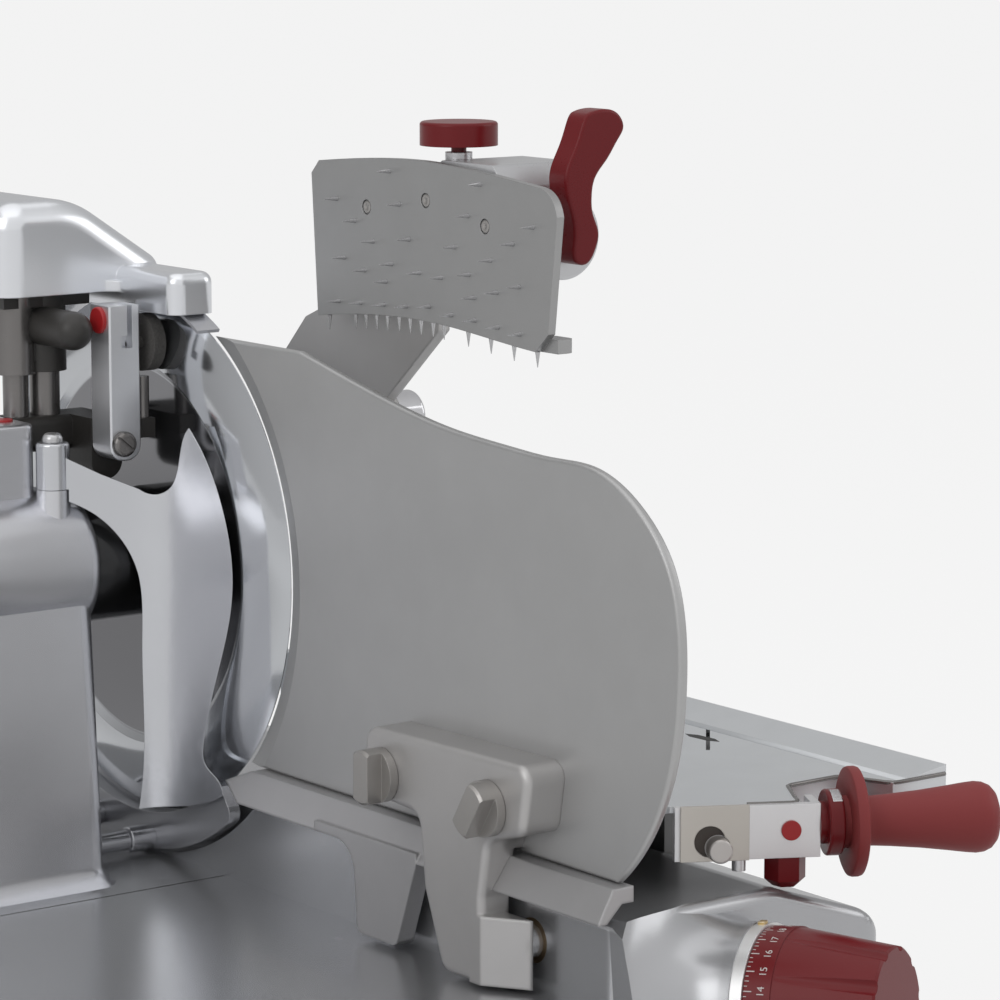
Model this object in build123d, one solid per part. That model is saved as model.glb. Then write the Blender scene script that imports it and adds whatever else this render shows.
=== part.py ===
from build123d import *
import os
from math import cos, radians, sin, sqrt

# Vertical-blade food slicer. Every shape below is drawn about the centre of the blade:
# X to the food side, Y to the rear, Z up, in millimetres. The export moves them to the
# frame of the part, where the feet stand on Z = 0.

# Place of the blade centre in the frame of the part
blade_x = 26.0
blade_y = 192.8
blade_z = 300.0

# Fits and clearances
running_fit = 0.05
fixed_fit = 0.02
slip_gap = 0.3
seat_gap = 0.2

# Blade and spindle
blade_radius = 165.0
blade_rim_width = 46.0
blade_rim_height = 9.5
blade_face = 6.0
blade_recess = 2.0
blade_land = 14.0
blade_edge = 0.6
spigot_radius = 15.0
spigot_length = 3.5
flange_radius = 38.0
flange_thickness = 10.0
flange_cone = 4.0
spindle_radius = 12.5
blade_screw_circle = 27.0
blade_screw_radius = 3.0
blade_screw_head = 5.6
blade_screw_count = 4

# Head: barrel, column, pedestal
barrel_radius = 47.0
barrel_front = -59.0
barrel_rim_round = 9.0
head_front = -62.0
head_rear = -222.0
head_wall = 7.0
column_foot_right = -74.0
column_foot_front = -72.0
column_foot_rear = 70.0
column_top_front = -41.0
column_top_rear = 45.0
column_top = -20.0
column_round = 12.0
skirt_spread = 7.5
skirt_height = 12.0
pedestal_left = -160.0
pedestal_right = -88.0
pedestal_front = -16.0
pedestal_rear = 62.0
pedestal_top = 90.0
pedestal_round = 8.0
bearing_radius = 26.0
bearing_width = 15.0
bearing_pitch = 76.0
collar_radius = 41.0
collar_round = 4.0
rear_cover_thickness = 6.0
cover_screw_radius = 3.0

# Drive
pulley_plane = -198.0
pulley_width = 18.0
blade_pulley_radius = 29.0
motor_pulley_radius = 18.0
belt_width = 14.0
belt_thickness = 4.0
belt_gap = 0.3
motor_drop = 118.0
motor_offset = 6.0
motor_radius = 38.0
motor_length = 88.0
motor_shaft_radius = 7.0

# Base casting
foot_height = 22.0
foot_radius = 19.0
foot_inset = 46.0
foot_bolt_radius = 4.0
foot_post_radius = 12.0
foot_bolt_grip = 26.0
bottom_plate_thickness = 2.5
bottom_plate_inset = 5.0
table_height = 107.0
housing_height = 161.0
base_left = -300.0
base_right = 196.0
base_front = -486.0
base_rear = 195.0
base_wall = 7.0
base_round = 16.0
corner_overrun = 0.4
base_edge_round = 6.0
housing_edge_round = 7.0
wall_x = -6.0
crest_x = 112.0
shoulder_drop = 28.5
shoulder_round = 30.0
cable_hole_radius = 14.0

# Blade guard
guard_gap = 2.5
guard_thickness = 2.2
guard_left = -12.0
guard_right = 4.0
guard_plate_depth = 23.5
guard_plate_width = 8.0
guard_front_angle = 54.0
guard_top_angle = 61.0
guard_foot_angle = 109.0
guard_pocket_gap = 3.0
guard_pocket_x = 10.0
stay_reach = 16.0
stay_angle = 84.4
rear_stay_angle = 103.9
stay_radius = 6.5
stay_collar_radius = 8.5
stay_collar_length = 18.0

# Slice deflector
deflector_pin_x = -82.0
deflector_pin_y = -24.0
deflector_boss_radius = 10.5
deflector_boss_foot = 50.0
deflector_boss_height = 29.0
deflector_pin_radius = 5.0
deflector_edge_x = -12.0
deflector_edge_y = -134.0
deflector_plane_x = -20.0
deflector_sight = (0.6, 0.8, -0.16)
deflector_head_radius = 6.5
deflector_head_height = 5.5

# Thickness gauge
gauge_thickness = 6.0
gauge_gap = 3.5
gauge_top = 145.0
gauge_bottom = -116.5
gauge_shoulder_y = -183.0
gauge_neck_z = 112.0
gauge_corner_z = 110.5
gauge_front = -541.0
gauge_neck_y = gauge_front + 153.0
gauge_corner_y = gauge_front + 76.0
gauge_toe_y = gauge_front + 53.0
gauge_edge_round = 2.0
gauge_bevel = 14.0
gauge_bevel_land = 1.5
rail_drop = 0.5
rail_width = 14.0
rail_height = 9.0
rail_front = -496.0
rail_apron_depth = 10.0
rail_leg_root = 20.0
rail_apron_out = 10.5
rail_apron_thickness = 6.0
rail_leg_rear = -264.0
rail_leg_front = -327.0
rail_leg_thickness = 12.0
arm_thickness = 26.5
arm_top = -57.0
arm_rear = -284.0
arm_front = -444.0
arm_lobe_bottom = -103.0
arm_round = 10.0
arm_leg_rear = -339.0
arm_leg_front = -405.0
arm_foot_rear = -362.0
arm_foot_front = -399.0
arm_flare = 26.0
arm_back = -12.5
arm_foot_back = -15.0
arm_foot_height = 40.0
arm_edge_round = 4.5
table_clearance = 3.0
gauge_shaft_radius = 9.5
gauge_shaft_z = -165.0
front_shaft_y = -413.0
rear_shaft_y = -292.0
gauge_shaft_end = 52.0
shaft_root = -16.0
shaft_bush_radius = 13.0
shaft_bush_length = 24.0
yoke_thickness = 10.0
yoke_height = 26.0
clamp_knob_radius = 16.0
clamp_knob_length = 15.5
clamp_knob_bar = 14.0
clamp_knob_bar_depth = 10.0
clamp_knob_z = -86.0
clamp_knob_rear_y = -305.0
clamp_knob_front_y = -407.0
clamp_knob_turn = 32.0
clamp_stud_radius = 5.0

# Thickness dial on its oblique boss
dial_x = 75.8
dial_y = -515.0
dial_z = -194.5
dial_yaw = 27.0
dial_tilt = 5.2
dial_ring_radius = 47.2
dial_ring_width = 7.2
dial_boss_radius = 48.0
dial_boss_depth = 62.0
dial_flare = 34.0
dial_flare_depth = 52.0
dial_skirt_radius = 45.6
dial_skirt_width = 16.0
dial_nose_radius = 36.5
dial_length = 73.0
dial_flute_count = 10
dial_flute_radius = 5.0
dial_shaft_radius = 7.0
dial_shaft_depth = 66.0
dial_cam_radius = 17.0
dial_cam_width = 7.0
index_width = 5.0

# Carriage: tray, frame, foot, guide
tray_top = -92.0
tray_thickness = 4.0
tray_left = 4.0
tray_right = 248.0
tray_front = -478.0
tray_rear = -146.0
tray_fence_y = -190.0
tray_fence_thickness = 3.0
tray_rim_width = 29.0
tray_rim_rise = 5.0
tray_lip = 12.0
tray_notch_y = -446.0
tray_notch_left = 153.0
tray_notch_right = 200.0
tray_fence_height = 52.0
frame_wall = 8.0
frame_left = 40.0
frame_right = 214.0
frame_front = -422.0
frame_rear = -226.0
foot_x = 137.0
carriage_foot_width = 12.0
carriage_foot_front = -362.0
carriage_foot_rear = -302.0
slot_gap = 2.0
slot_end_gap = 6.0
carriage_travel = 280.0
guide_radius = 11.0
guide_z = -222.0
guide_front = -424.0
guide_rear = 104.0
guide_support_width = 20.0
slide_block_width = 44.0
slide_block_height = 36.0
slide_bush_radius = 14.0
slide_bush_length = 24.0
roller_x = 84.0
roller_radius = 11.0
roller_width = 10.0
roller_axle_radius = 5.0
track_thickness = 6.0
track_width = 18.0

# Handle on its bent bracket
bracket_x = 64.9
bracket_y = -451.6
bracket_turn = 28.5
bracket_length = 84.0
bracket_height = 31.0
bracket_thickness = 5.0
bracket_return = 26.0
bracket_seam = 42.5
bracket_pin_at = 24.6
bracket_pin_drop = 23.5
bracket_pin_radius = 7.0
bracket_hole_radius = 9.0
bracket_pin_length = 30.0
bracket_pin_proud = 9.0
marker_at = bracket_length - 17.0
marker_drop = 15.0
marker_radius = 5.7
marker_thickness = 1.2
marker_x = -99.0
marker_y = 6.0
handle_drop = 13.5
handle_inward = 10.0
handle_step = 4.0
handle_neck_length = 4.0
handle_end_round = 13.0
handle_collar_radius = 19.0
handle_collar_length = 13.0
handle_neck_radius = 12.2
handle_flange_radius = 31.5
handle_flange_width = 7.5
handle_root_radius = 15.0
handle_end_radius = 20.2
handle_length = 88.0
handle_stud_radius = 6.0
release_at = 66.0
release_radius = 12.0
release_height = 18.0
release_stem_radius = 5.0

# Meat press
press_plate_x = 42.0
press_plate_thickness = 5.0
press_top = 258.0
press_bottom = 158.0
press_foot_depth = 12.0
press_foot_thickness = 8.0
spike_radius = 1.5
spike_length = 9.0
press_screw_radius = 4.5
press_pivot_y = -165.0
press_pivot_z = 97.0
press_arm_x = 58.0
press_arm_thickness = 8.0
press_hub_radius = 18.0
press_hub_length = 16.0
press_pin_radius = 8.0
press_post_x = 80.2
press_post_radius = 9.5
press_head_radius = 16.0
press_head_length = 20.0
press_rod_z = -60.0
press_rod_radius = 10.0
press_sleeve_radius = 17.0
press_sleeve_length = 46.0
press_block_thickness = 12.0
press_block_width = 34.0
press_housing_front = -315.0
press_housing_rear = -240.0
press_housing_depth = 58.0
press_boss_radius = 25.0
press_boss_length = 10.0
press_boss_z = 219.0
press_boss_x = 85.0
press_lever_pin_radius = 5.0
press_neck_radius = 4.5
press_seat_z = 265.0
press_knob_y = -252.0
press_knob_x = 62.0
press_knob_radius = 23.0
press_knob_height = 14.0
press_knob_rise = 4.0
press_stem_radius = 7.0
press_lever_thickness = 16.0

# Sharpener
sharpener_left = -104.0
sharpener_right = 16.0
sharpener_front = -4.0
sharpener_rear = 108.0
sharpener_roof = blade_radius + 61.0
sharpener_ridge_x = -47.0
sharpener_eave = blade_radius + 19.0
sharpener_skirt = blade_radius + 2.0
sharpener_wall = 5.0
sharpener_round = 18.0
sharpener_eave_round = 12.0
sharpener_ridge_round = 60.0
nose_left = -22.0
nose_right = 10.0
nose_front = -70.5
nose_top = blade_radius + 18.0
nose_gap = 0.5
nose_round = 9.0
nose_root_round = 10.0
sleeve_x = -82.0
sleeve_y = 20.0
sleeve_radius = 12.5
sleeve_foot = blade_radius - 48.0
sleeve_top = blade_radius + 7.0
elbow_radius = 14.0
post_radius = 8.0
stop_rod_x = -61.0
stop_rod_radius = 9.5
link_left = -49.5
link_right = -27.5
link_front = -40.0
link_depth = 23.0
link_top = blade_radius - 3.0
link_bottom = 65.0
link_screw_radius = 8.0
link_screw_length = 5.0
link_pin_radius = 4.0
link_slot_width = 3.6
link_slot_length = 19.0
link_slot_x = -34.8
link_square = 7.5
link_pivot_x = -41.0
link_pivot_z = 76.0
button_radius = 8.2
button_proud = 2.5
button_travel = 2.0
link_button_drop = 9.2
carrier_front = 6.0
carrier_rear = 36.0
carrier_depth = 22.0
carrier_right = -15.0
carrier_boss_z = 62.0
carrier_foot_depth = 12.0
guide_rod_x = -20.5
guide_rod_y = -30.0
guide_rod_radius = 4.5
guide_rod_top = 116.0
finger_radius = 12.0
finger_x = -67.0
finger_z = blade_radius - 18.0
hinge_y = 116.0
hinge_z = blade_radius + 1.0
hinge_pin_radius = 4.0
hinge_lug_radius = 8.0
hinge_x = -60.0
hinge_knuckle = 20.0
hinge_lug_width = 14.0
stone_radius = 18.0
stone_width = 8.0
stone_spindle_radius = 4.0
stone_z = 137.0
stone_x = -16.5

# Switch and cable gland
switch_x = -205.0
switch_z = -236.0
switch_pitch = 34.0
switch_plate_width = 84.0
switch_plate_height = 44.0
switch_plate_thickness = 3.0
switch_button_radius = 12.0
switch_button_proud = 6.0
switch_button_depth = 14.0
gland_x = -120.0
gland_z = -238.0
gland_radius = 13.0
gland_length = 22.0
gland_bore = 4.5

# Guard and nose, worked out from the blade
guard_inner = blade_radius + guard_gap
guard_outer = guard_inner + guard_thickness
nose_bottom = sqrt(guard_outer**2 - (nose_front + sharpener_wall) ** 2) + nose_gap

# Heights worked out from the floor
floor_z = -blade_z
base_bottom = floor_z + foot_height + bottom_plate_thickness
table_top = floor_z + table_height
housing_top = floor_z + housing_height


def block(x0, x1, y0, y1, z0, z1):
    """Box between two corners."""
    return Pos((x0 + x1) / 2, (y0 + y1) / 2, (z0 + z1) / 2) * Box(x1 - x0, y1 - y0, z1 - z0)


def bar(start, end, radius):
    """Round bar between two points."""
    run = Vector(*end) - Vector(*start)
    return extrude(Plane(origin=start, z_dir=run) * Circle(radius), run.length)


def pipe(start, end, outer, inner):
    """Round tube between two points."""
    return bar(start, end, outer) - bar(start, end, inner)


def along_x(sketch, x0, x1):
    """Sketch of Y and Z carried from x0 to x1."""
    return extrude(Plane.YZ.offset(x0) * sketch, x1 - x0)


def along_y(sketch, y_front, y_rear):
    """Sketch of X and Z carried from y_rear forward to y_front."""
    return extrude(Plane.XZ.offset(-y_rear) * sketch, y_rear - y_front)


def along_z(sketch, z0, z1):
    """Sketch of X and Y carried from z0 up to z1."""
    return extrude(Plane.XY.offset(z0) * sketch, z1 - z0)


def outline(*points):
    """Closed straight-sided sketch through the points."""
    return make_face(Polyline(*points, close=True))


def soften(sketch, corner, radius):
    """Round the corner of a sketch that lies nearest to a point."""
    return fillet(sketch.vertices().sort_by_distance((corner[0], corner[1], 0))[:1], radius)


def turned(profile):
    """Turn a profile of X and radius about the blade axis."""
    return revolve(profile, Axis.X)


def rim_edges(body, axis, place):
    """Edges that lie in one plane across an axis."""
    return body.edges().filter_by_position(axis, place - 0.01, place + 0.01)


# Blade and spindle

def make_blade():
    """Knife with a convex polished rim and a thin flat web."""
    web_edge = blade_radius - blade_rim_width
    rim_mid = blade_radius - 0.45 * blade_rim_width
    land_edge = blade_radius - blade_land
    rim = ThreePointArc(
        (-blade_edge, blade_radius),
        (-0.8 * blade_rim_height, rim_mid),
        (-blade_rim_height, web_edge + blade_rim_height / 2),
    )
    rest = Polyline(
        rim @ 1,
        (-blade_face, web_edge),
        (-blade_face, spigot_radius + running_fit),
        (-blade_recess, spigot_radius + running_fit),
        (-blade_recess, land_edge - blade_recess),
        (0, land_edge),
        (0, blade_radius),
        rim @ 0,
    )
    blade = turned(make_face(rim + rest))
    for hole in blade_screw_places():
        shank = bar((-blade_face - 1, *hole), (0, *hole), blade_screw_radius + running_fit)
        blade = blade - shank - screw_cone(hole, running_fit)
    return blade


def blade_screw_places():
    """Y and Z of the screws on their circle."""
    turn = 360 / blade_screw_count
    angles = [radians(turn * (count + 0.5)) for count in range(blade_screw_count)]
    return [(blade_screw_circle * cos(angle), blade_screw_circle * sin(angle)) for angle in angles]


def screw_cone(place, gap):
    """Countersunk head that ends flush with the food side of the web."""
    depth = blade_screw_head - blade_screw_radius
    head = Plane(origin=(-blade_recess - depth / 2, *place), z_dir=(1, 0, 0))
    return head * Cone(blade_screw_radius + gap, blade_screw_head + gap, depth)


def make_blade_screws():
    """Countersunk screws that hold the blade on the spindle flange."""
    screws = []
    tail = -blade_face - flange_thickness + 1
    for place in blade_screw_places():
        screws.append(bar((tail, *place), (-blade_recess, *place), blade_screw_radius)
            + screw_cone(place, 0))
    return screws


def make_spindle():
    """Forged spindle: spigot, flange and a long shaft to the pulley."""
    flange_back = -blade_face - flange_thickness
    profile = outline(
        (-blade_face + spigot_length, 0),
        (-blade_face + spigot_length, spigot_radius),
        (-blade_face, spigot_radius),
        (-blade_face, flange_radius),
        (flange_back, flange_radius),
        (flange_back - flange_cone, spindle_radius + 3),
        (front_bearing_face(), spindle_radius + 3),
        (front_bearing_face(), spindle_radius),
        (pulley_plane - pulley_width / 2 - 4, spindle_radius),
        (pulley_plane - pulley_width / 2 - 4, 0),
    )
    spindle = turned(profile)
    for place in blade_screw_places():
        tail = flange_back + 1
        spindle = spindle - bar((tail, *place), (-blade_face, *place), blade_screw_radius + running_fit)
    return spindle


def front_bearing_face():
    """X of the front face of the front bearing."""
    return barrel_front - head_wall + 2


def make_bearings():
    """Two ball bearings in the barrel, each as one ring."""
    first = front_bearing_face() - slip_gap
    rings = []
    for count in range(2):
        front = first - count * bearing_pitch
        rings.append(pipe((front - bearing_width, 0, 0), (front, 0, 0), bearing_radius,
            spindle_radius + running_fit))
    return rings


def make_pulley(radius, bore, y, z):
    """Flanged pulley with a row of belt grooves."""
    half = pulley_width / 2
    lip = (pulley_width - belt_width) / 2 - slip_gap
    wheel = bar((pulley_plane - half, y, z), (pulley_plane + half, y, z), radius + belt_thickness)
    track = pipe(
        (pulley_plane - half + lip, y, z),
        (pulley_plane + half - lip, y, z),
        radius + belt_thickness + 1,
        radius,
    )
    return wheel - track - bar((pulley_plane - half, y, z), (pulley_plane + half, y, z), bore)


def make_belt():
    """Flat ribbed belt in a loop round both pulleys."""
    def loop(extra):
        upper = Circle(blade_pulley_radius + extra)
        lower = Pos(motor_offset, -motor_drop) * Circle(motor_pulley_radius + extra)
        return make_hull(upper.edges() + lower.edges())
    band = loop(belt_gap + belt_thickness) - loop(belt_gap)
    return along_x(band, pulley_plane - belt_width / 2, pulley_plane + belt_width / 2)


def make_motor():
    """Motor body with end bells, bolted to the front wall of the column."""
    seat = column_foot_right - head_wall
    body = bar((seat - motor_length, motor_offset, -motor_drop), (seat, motor_offset, -motor_drop),
        motor_radius)
    body = fillet(rim_edges(body, Axis.X, seat - motor_length), 6)
    groove = pipe(
        (seat - 18, motor_offset, -motor_drop),
        (seat - 15, motor_offset, -motor_drop),
        motor_radius + 1,
        motor_radius - 2,
    )
    pitch = (motor_length - 36) / 6
    for count in range(7):
        body = body - Pos(-count * pitch, 0, 0) * groove
    nose = pulley_plane + pulley_width / 2 + 3
    bell = bar((nose, motor_offset, -motor_drop), (seat - motor_length, motor_offset, -motor_drop), 16)
    bore_radius = motor_shaft_radius + running_fit
    bore = bar((nose, motor_offset, -motor_drop), (seat - 20, motor_offset, -motor_drop), bore_radius)
    return body + bell - bore


def make_motor_shaft():
    """Rotor shaft that carries the small pulley."""
    tail = pulley_plane - pulley_width / 2 - 3
    inner = column_foot_right - head_wall - 21
    return bar((tail, motor_offset, -motor_drop), (inner, motor_offset, -motor_drop), motor_shaft_radius)


# Head

def column(inset):
    """Tapered column of the head, drawn in by a wall and running on past its open back."""
    rear = head_rear - column_round - 1
    top_right = head_front if inset == 0 else column_foot_right
    top_z = column_top if inset == 0 else -barrel_radius + inset

    def section(right, y_front, y_rear, height):
        width = right - inset - rear
        shape = RectangleRounded(width, y_rear - y_front - 2 * inset, column_round - inset)
        return Plane.XY.offset(height) * Pos(rear + width / 2, (y_front + y_rear) / 2) * shape

    foot = section(column_foot_right, column_foot_front, column_foot_rear, table_top)
    return loft([foot, section(top_right, column_top_front, column_top_rear, top_z)])


def column_skirt():
    """Flare with which the column spreads onto the table."""
    steps = []
    for share in (0, 0.1, 0.3, 0.6, 1):
        height = share * skirt_height
        rise = height / (column_top - table_top)
        spread = skirt_spread * (1 - share) ** 2
        right = column_foot_right + (head_front - column_foot_right) * rise + spread
        front = column_foot_front + (column_top_front - column_foot_front) * rise - spread
        rear = column_foot_rear + (column_top_rear - column_foot_rear) * rise + spread
        shape = RectangleRounded(right - head_rear, rear - front, column_round + spread)
        middle = Pos((right + head_rear) / 2, (front + rear) / 2)
        steps.append(Plane.XY.offset(table_top + height) * middle * shape)
    return loft(steps)


def make_head():
    """Head casting: column, barrel, pedestal, hollow for the drive and open at its back."""
    barrel = bar((head_rear, 0, 0), (barrel_front, 0, 0), barrel_radius)
    barrel = fillet(rim_edges(barrel, Axis.X, barrel_front), barrel_rim_round)
    reach = block(head_rear, 0, column_foot_front * 2, column_foot_rear * 2, table_top, column_top)
    pedestal_face = RectangleRounded(
        pedestal_right - pedestal_left, pedestal_rear - pedestal_front, pedestal_round
    )
    middle = Pos((pedestal_left + pedestal_right) / 2, (pedestal_front + pedestal_rear) / 2)
    pedestal = along_z(middle * pedestal_face, 0, pedestal_top)
    pedestal = fillet(rim_edges(pedestal, Axis.Z, pedestal_top), 3)
    pad = bar(
        (deflector_pin_x, deflector_pin_y, 20),
        (deflector_pin_x, deflector_pin_y, deflector_boss_foot - slip_gap),
        deflector_boss_radius,
    )
    head = ((column(0) + column_skirt()) & reach) + barrel + pedestal + pad
    bearing_back = front_bearing_face() - slip_gap - bearing_pitch - bearing_width
    inner_radius = barrel_radius - head_wall
    head = head - (column(head_wall) & reach)
    head = head - bar((head_rear, 0, 0), (bearing_back, 0, 0), inner_radius)
    head = head - block(head_rear, bearing_back, -inner_radius + 4, inner_radius - 4, -barrel_radius, 0)
    head = head - bar((bearing_back, 0, 0), (front_bearing_face() - slip_gap, 0, 0), bearing_radius)
    head = head - bar((bearing_back, 0, 0), (barrel_front, 0, 0), spindle_radius + 3 + slip_gap)
    return head - pin_bore()


def pin_bore():
    """Blind bore for the deflector hinge pin in the head."""
    return bar(
        (deflector_pin_x, deflector_pin_y, 26),
        (deflector_pin_x, deflector_pin_y, deflector_boss_foot),
        deflector_pin_radius + fixed_fit,
    )


def make_rear_cover():
    """Plate that closes the open back of the head."""
    foot = outline(
        (column_foot_front + 2, table_top + 1),
        (column_foot_rear - 2, table_top + 1),
        (column_top_rear, column_top),
        (column_top_front, column_top),
    )
    face = foot + Circle(barrel_radius - 0.5)
    cover = along_x(face, head_rear - rear_cover_thickness, head_rear)
    cover = chamfer(rim_edges(cover, Axis.X, head_rear - rear_cover_thickness), 2)
    for place in cover_screw_places():
        cover = cover - bar(
            (head_rear - rear_cover_thickness - 1, *place),
            (head_rear, *place),
            cover_screw_radius + fixed_fit,
        )
    return cover


def cover_screw_places():
    """Y and Z of the screws of the rear cover, in the walls of the head."""
    wall = head_wall / 2
    low = table_top + 16
    rise = (low - table_top) / (column_top - table_top)
    front = column_foot_front + (column_top_front - column_foot_front) * rise + wall
    rear = column_foot_rear + (column_top_rear - column_foot_rear) * rise - wall
    reach = barrel_radius - wall
    return [(front, low), (rear, low), (reach * 0.8, reach * 0.6), (-reach * 0.8, reach * 0.6)]


def make_cover_screws():
    """Pan-head screws of the rear cover."""
    outer = head_rear - rear_cover_thickness
    screws = []
    for place in cover_screw_places():
        head = bar((outer - 3, *place), (outer, *place), cover_screw_radius * 2)
        screws.append(head + bar((outer, *place), (outer + rear_cover_thickness, *place),
            cover_screw_radius))
    return screws


def make_hub_collar():
    """Black collar between the barrel and the blade, hollow round the spindle flange."""
    tip = -blade_face - 1.5
    collar = bar((barrel_front, 0, 0), (tip, 0, 0), collar_radius)
    collar = fillet(rim_edges(collar, Axis.X, tip), collar_round)
    well = -blade_face - flange_thickness - flange_cone - 1.5
    collar = collar - bar((well, 0, 0), (tip, 0, 0), flange_radius + 1)
    return collar - bar((barrel_front, 0, 0), (well, 0, 0), spindle_radius + 8)


# Base

def base_profile(inset):
    """Cross-section of the base casting, with the table low and the housing high."""
    left = base_left + inset
    right = base_right - inset
    top = housing_top - inset
    deck = table_top - inset
    wall = wall_x + inset
    shoulder = top - shoulder_drop
    profile = outline(
        (left, base_bottom - inset),
        (left, deck),
        (wall, deck),
        (wall, top),
        (crest_x, top),
        (right, shoulder),
        (right, base_bottom - inset),
    )
    if inset == 0:
        profile = soften(profile, (left, deck), base_edge_round)
        profile = soften(profile, (wall, top), base_edge_round)
    profile = soften(profile, (crest_x, top), shoulder_round)
    return soften(profile, (right, shoulder), shoulder_round - inset)


def dial_plane(depth):
    """Plane across the dial axis, a depth in front of the ring seat."""
    yaw = radians(dial_yaw)
    tilt = radians(dial_tilt)
    axis = Vector(sin(yaw) * cos(tilt), -cos(yaw) * cos(tilt), sin(tilt))
    return Plane(origin=Vector(dial_x, dial_y, dial_z) + axis * depth,
        x_dir=(cos(yaw), sin(yaw), 0), z_dir=axis)


def dial_boss():
    """Boss of the dial that flares into the front of the base, under the same roof line."""
    flare = ThreePointArc(
        (dial_boss_radius, 0),
        (dial_boss_radius + 0.18 * dial_flare, -0.6 * dial_flare_depth),
        (dial_boss_radius + dial_flare, -dial_flare_depth),
    )
    rest = Polyline(
        flare @ 1,
        (dial_boss_radius + dial_flare, -dial_boss_depth),
        (0, -dial_boss_depth),
        (0, 0),
        flare @ 0,
    )
    boss = dial_plane(0) * revolve(Plane.XZ * make_face(flare + rest), Axis.Z)
    return boss & along_y(base_profile(0), base_front - dial_boss_depth, base_front + dial_boss_depth)


def make_base():
    """Base casting: a shell open below, with the dial boss, shaft bosses and carriage slot."""
    middle = Pos((base_left + base_right) / 2, (base_front + base_rear) / 2)
    width = base_right - base_left + 2 * corner_overrun
    plan = middle * RectangleRounded(width, base_rear - base_front, base_round)
    whole = along_y(base_profile(0), base_front, base_rear) & along_z(plan, base_bottom, housing_top)
    corner = (wall_x, base_front, (table_top + housing_top) / 2)
    whole = fillet(whole.edges().sort_by_distance(corner)[:1], housing_edge_round)
    base = whole + dial_boss()
    base = base - along_y(base_profile(base_wall), base_front + base_wall, base_rear - base_wall)
    for shaft_y in (front_shaft_y, rear_shaft_y):
        base = base + bar(
            (wall_x + base_wall / 2, shaft_y, gauge_shaft_z),
            (wall_x + shaft_bush_length, shaft_y, gauge_shaft_z),
            shaft_bush_radius + 6,
        )
        base = base - bar(
            (wall_x, shaft_y, gauge_shaft_z),
            (wall_x + shaft_bush_length, shaft_y, gauge_shaft_z),
            shaft_bush_radius,
        )
    for place in foot_places():
        post = bar((*place, base_bottom), (*place, housing_top), foot_post_radius) & whole
        grip = base_bottom + foot_bolt_grip
        base = base + post - bar((*place, base_bottom), (*place, grip), foot_bolt_radius + fixed_fit)
    half_block = slide_block_width / 2
    for support in (guide_front, guide_rear - guide_support_width):
        lug = block(
            foot_x - half_block,
            foot_x + half_block,
            support,
            support + guide_support_width,
            guide_z - slide_block_height / 2,
            housing_top,
        )
        base = base + (lug & whole)
    base = base - bar((foot_x, guide_front, guide_z), (foot_x, guide_rear, guide_z),
        guide_radius + fixed_fit)
    half_slot = carriage_foot_width / 2 + slot_gap
    base = base - block(
        foot_x - half_slot,
        foot_x + half_slot,
        carriage_foot_front - slot_end_gap,
        carriage_foot_rear + carriage_travel + slot_end_gap,
        housing_top - shoulder_drop - 2 * base_wall,
        housing_top,
    )
    shaft_bore = dial_shaft_radius + running_fit
    base = base - extrude(dial_plane(-dial_boss_depth) * Circle(shaft_bore), dial_boss_depth)
    pocket_radius = guard_inner + guard_plate_depth + guard_pocket_gap
    above = block(base_left, base_right, base_front, base_rear, table_top, housing_top)
    liner = bar((wall_x, 0, 0), (guard_pocket_x + base_wall, 0, 0), pocket_radius + base_wall)
    pocket = bar((wall_x - 1, 0, 0), (guard_pocket_x, 0, 0), pocket_radius)
    base = base + (liner & whole) - (pocket & above)
    cable_x = (head_front + head_rear) / 2
    base = base - bar((cable_x, 0, table_top - base_wall), (cable_x, 0, table_top), cable_hole_radius)
    for place in switch_places():
        base = base - bar(
            (place, base_front, switch_z),
            (place, base_front + base_wall, switch_z),
            switch_button_radius + slip_gap,
        )
    return base - bar((gland_x, base_rear - base_wall, gland_z), (gland_x, base_rear, gland_z),
        gland_radius - 3)


def foot_places():
    """X and Y of the four feet."""
    return [
        (x, y)
        for x in (base_left + foot_inset, base_right - foot_inset)
        for y in (base_front + foot_inset, base_rear - foot_inset)
    ]


def switch_places():
    """X of the start and the stop button."""
    return (switch_x - switch_pitch / 2, switch_x + switch_pitch / 2)


def make_bottom_plate():
    """Sheet that closes the base from below."""
    width = base_right - base_left - 2 * bottom_plate_inset
    depth = base_rear - base_front - 2 * bottom_plate_inset
    middle = Pos((base_left + base_right) / 2, (base_front + base_rear) / 2)
    plate = along_z(middle * RectangleRounded(width, depth, base_round),
        base_bottom - bottom_plate_thickness, base_bottom)
    for place in foot_places():
        under = base_bottom - bottom_plate_thickness
        plate = plate - bar((*place, under), (*place, base_bottom), foot_bolt_radius + fixed_fit)
    return plate


def make_feet():
    """Rubber feet, each bored for its bolt."""
    feet = []
    top = base_bottom - bottom_plate_thickness
    for place in foot_places():
        foot = Pos(*place, (floor_z + top) / 2) * Cone(foot_radius, foot_radius - 4, foot_height)
        foot = fillet(rim_edges(foot, Axis.Z, floor_z), 2)
        foot = foot - bar((*place, floor_z), (*place, top), foot_bolt_radius + fixed_fit)
        feet.append(foot - bar((*place, floor_z), (*place, floor_z + 10), foot_bolt_radius * 2))
    return feet


def make_foot_bolts():
    """Bolts that hold the feet, with their heads up inside the rubber."""
    bolts = []
    for place in foot_places():
        head = along_z(Pos(*place) * RegularPolygon(foot_bolt_radius * 1.8, 6), floor_z + 5, floor_z + 10)
        bolts.append(head + bar((*place, floor_z + 10), (*place, base_bottom + foot_bolt_grip),
            foot_bolt_radius))
    return bolts


# Blade guard

def polar(radius, angle):
    """Y and Z of a point on a circle round the blade; 0 is the front, 90 below."""
    return (-radius * cos(radians(angle)), -radius * sin(radians(angle)))


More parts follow.
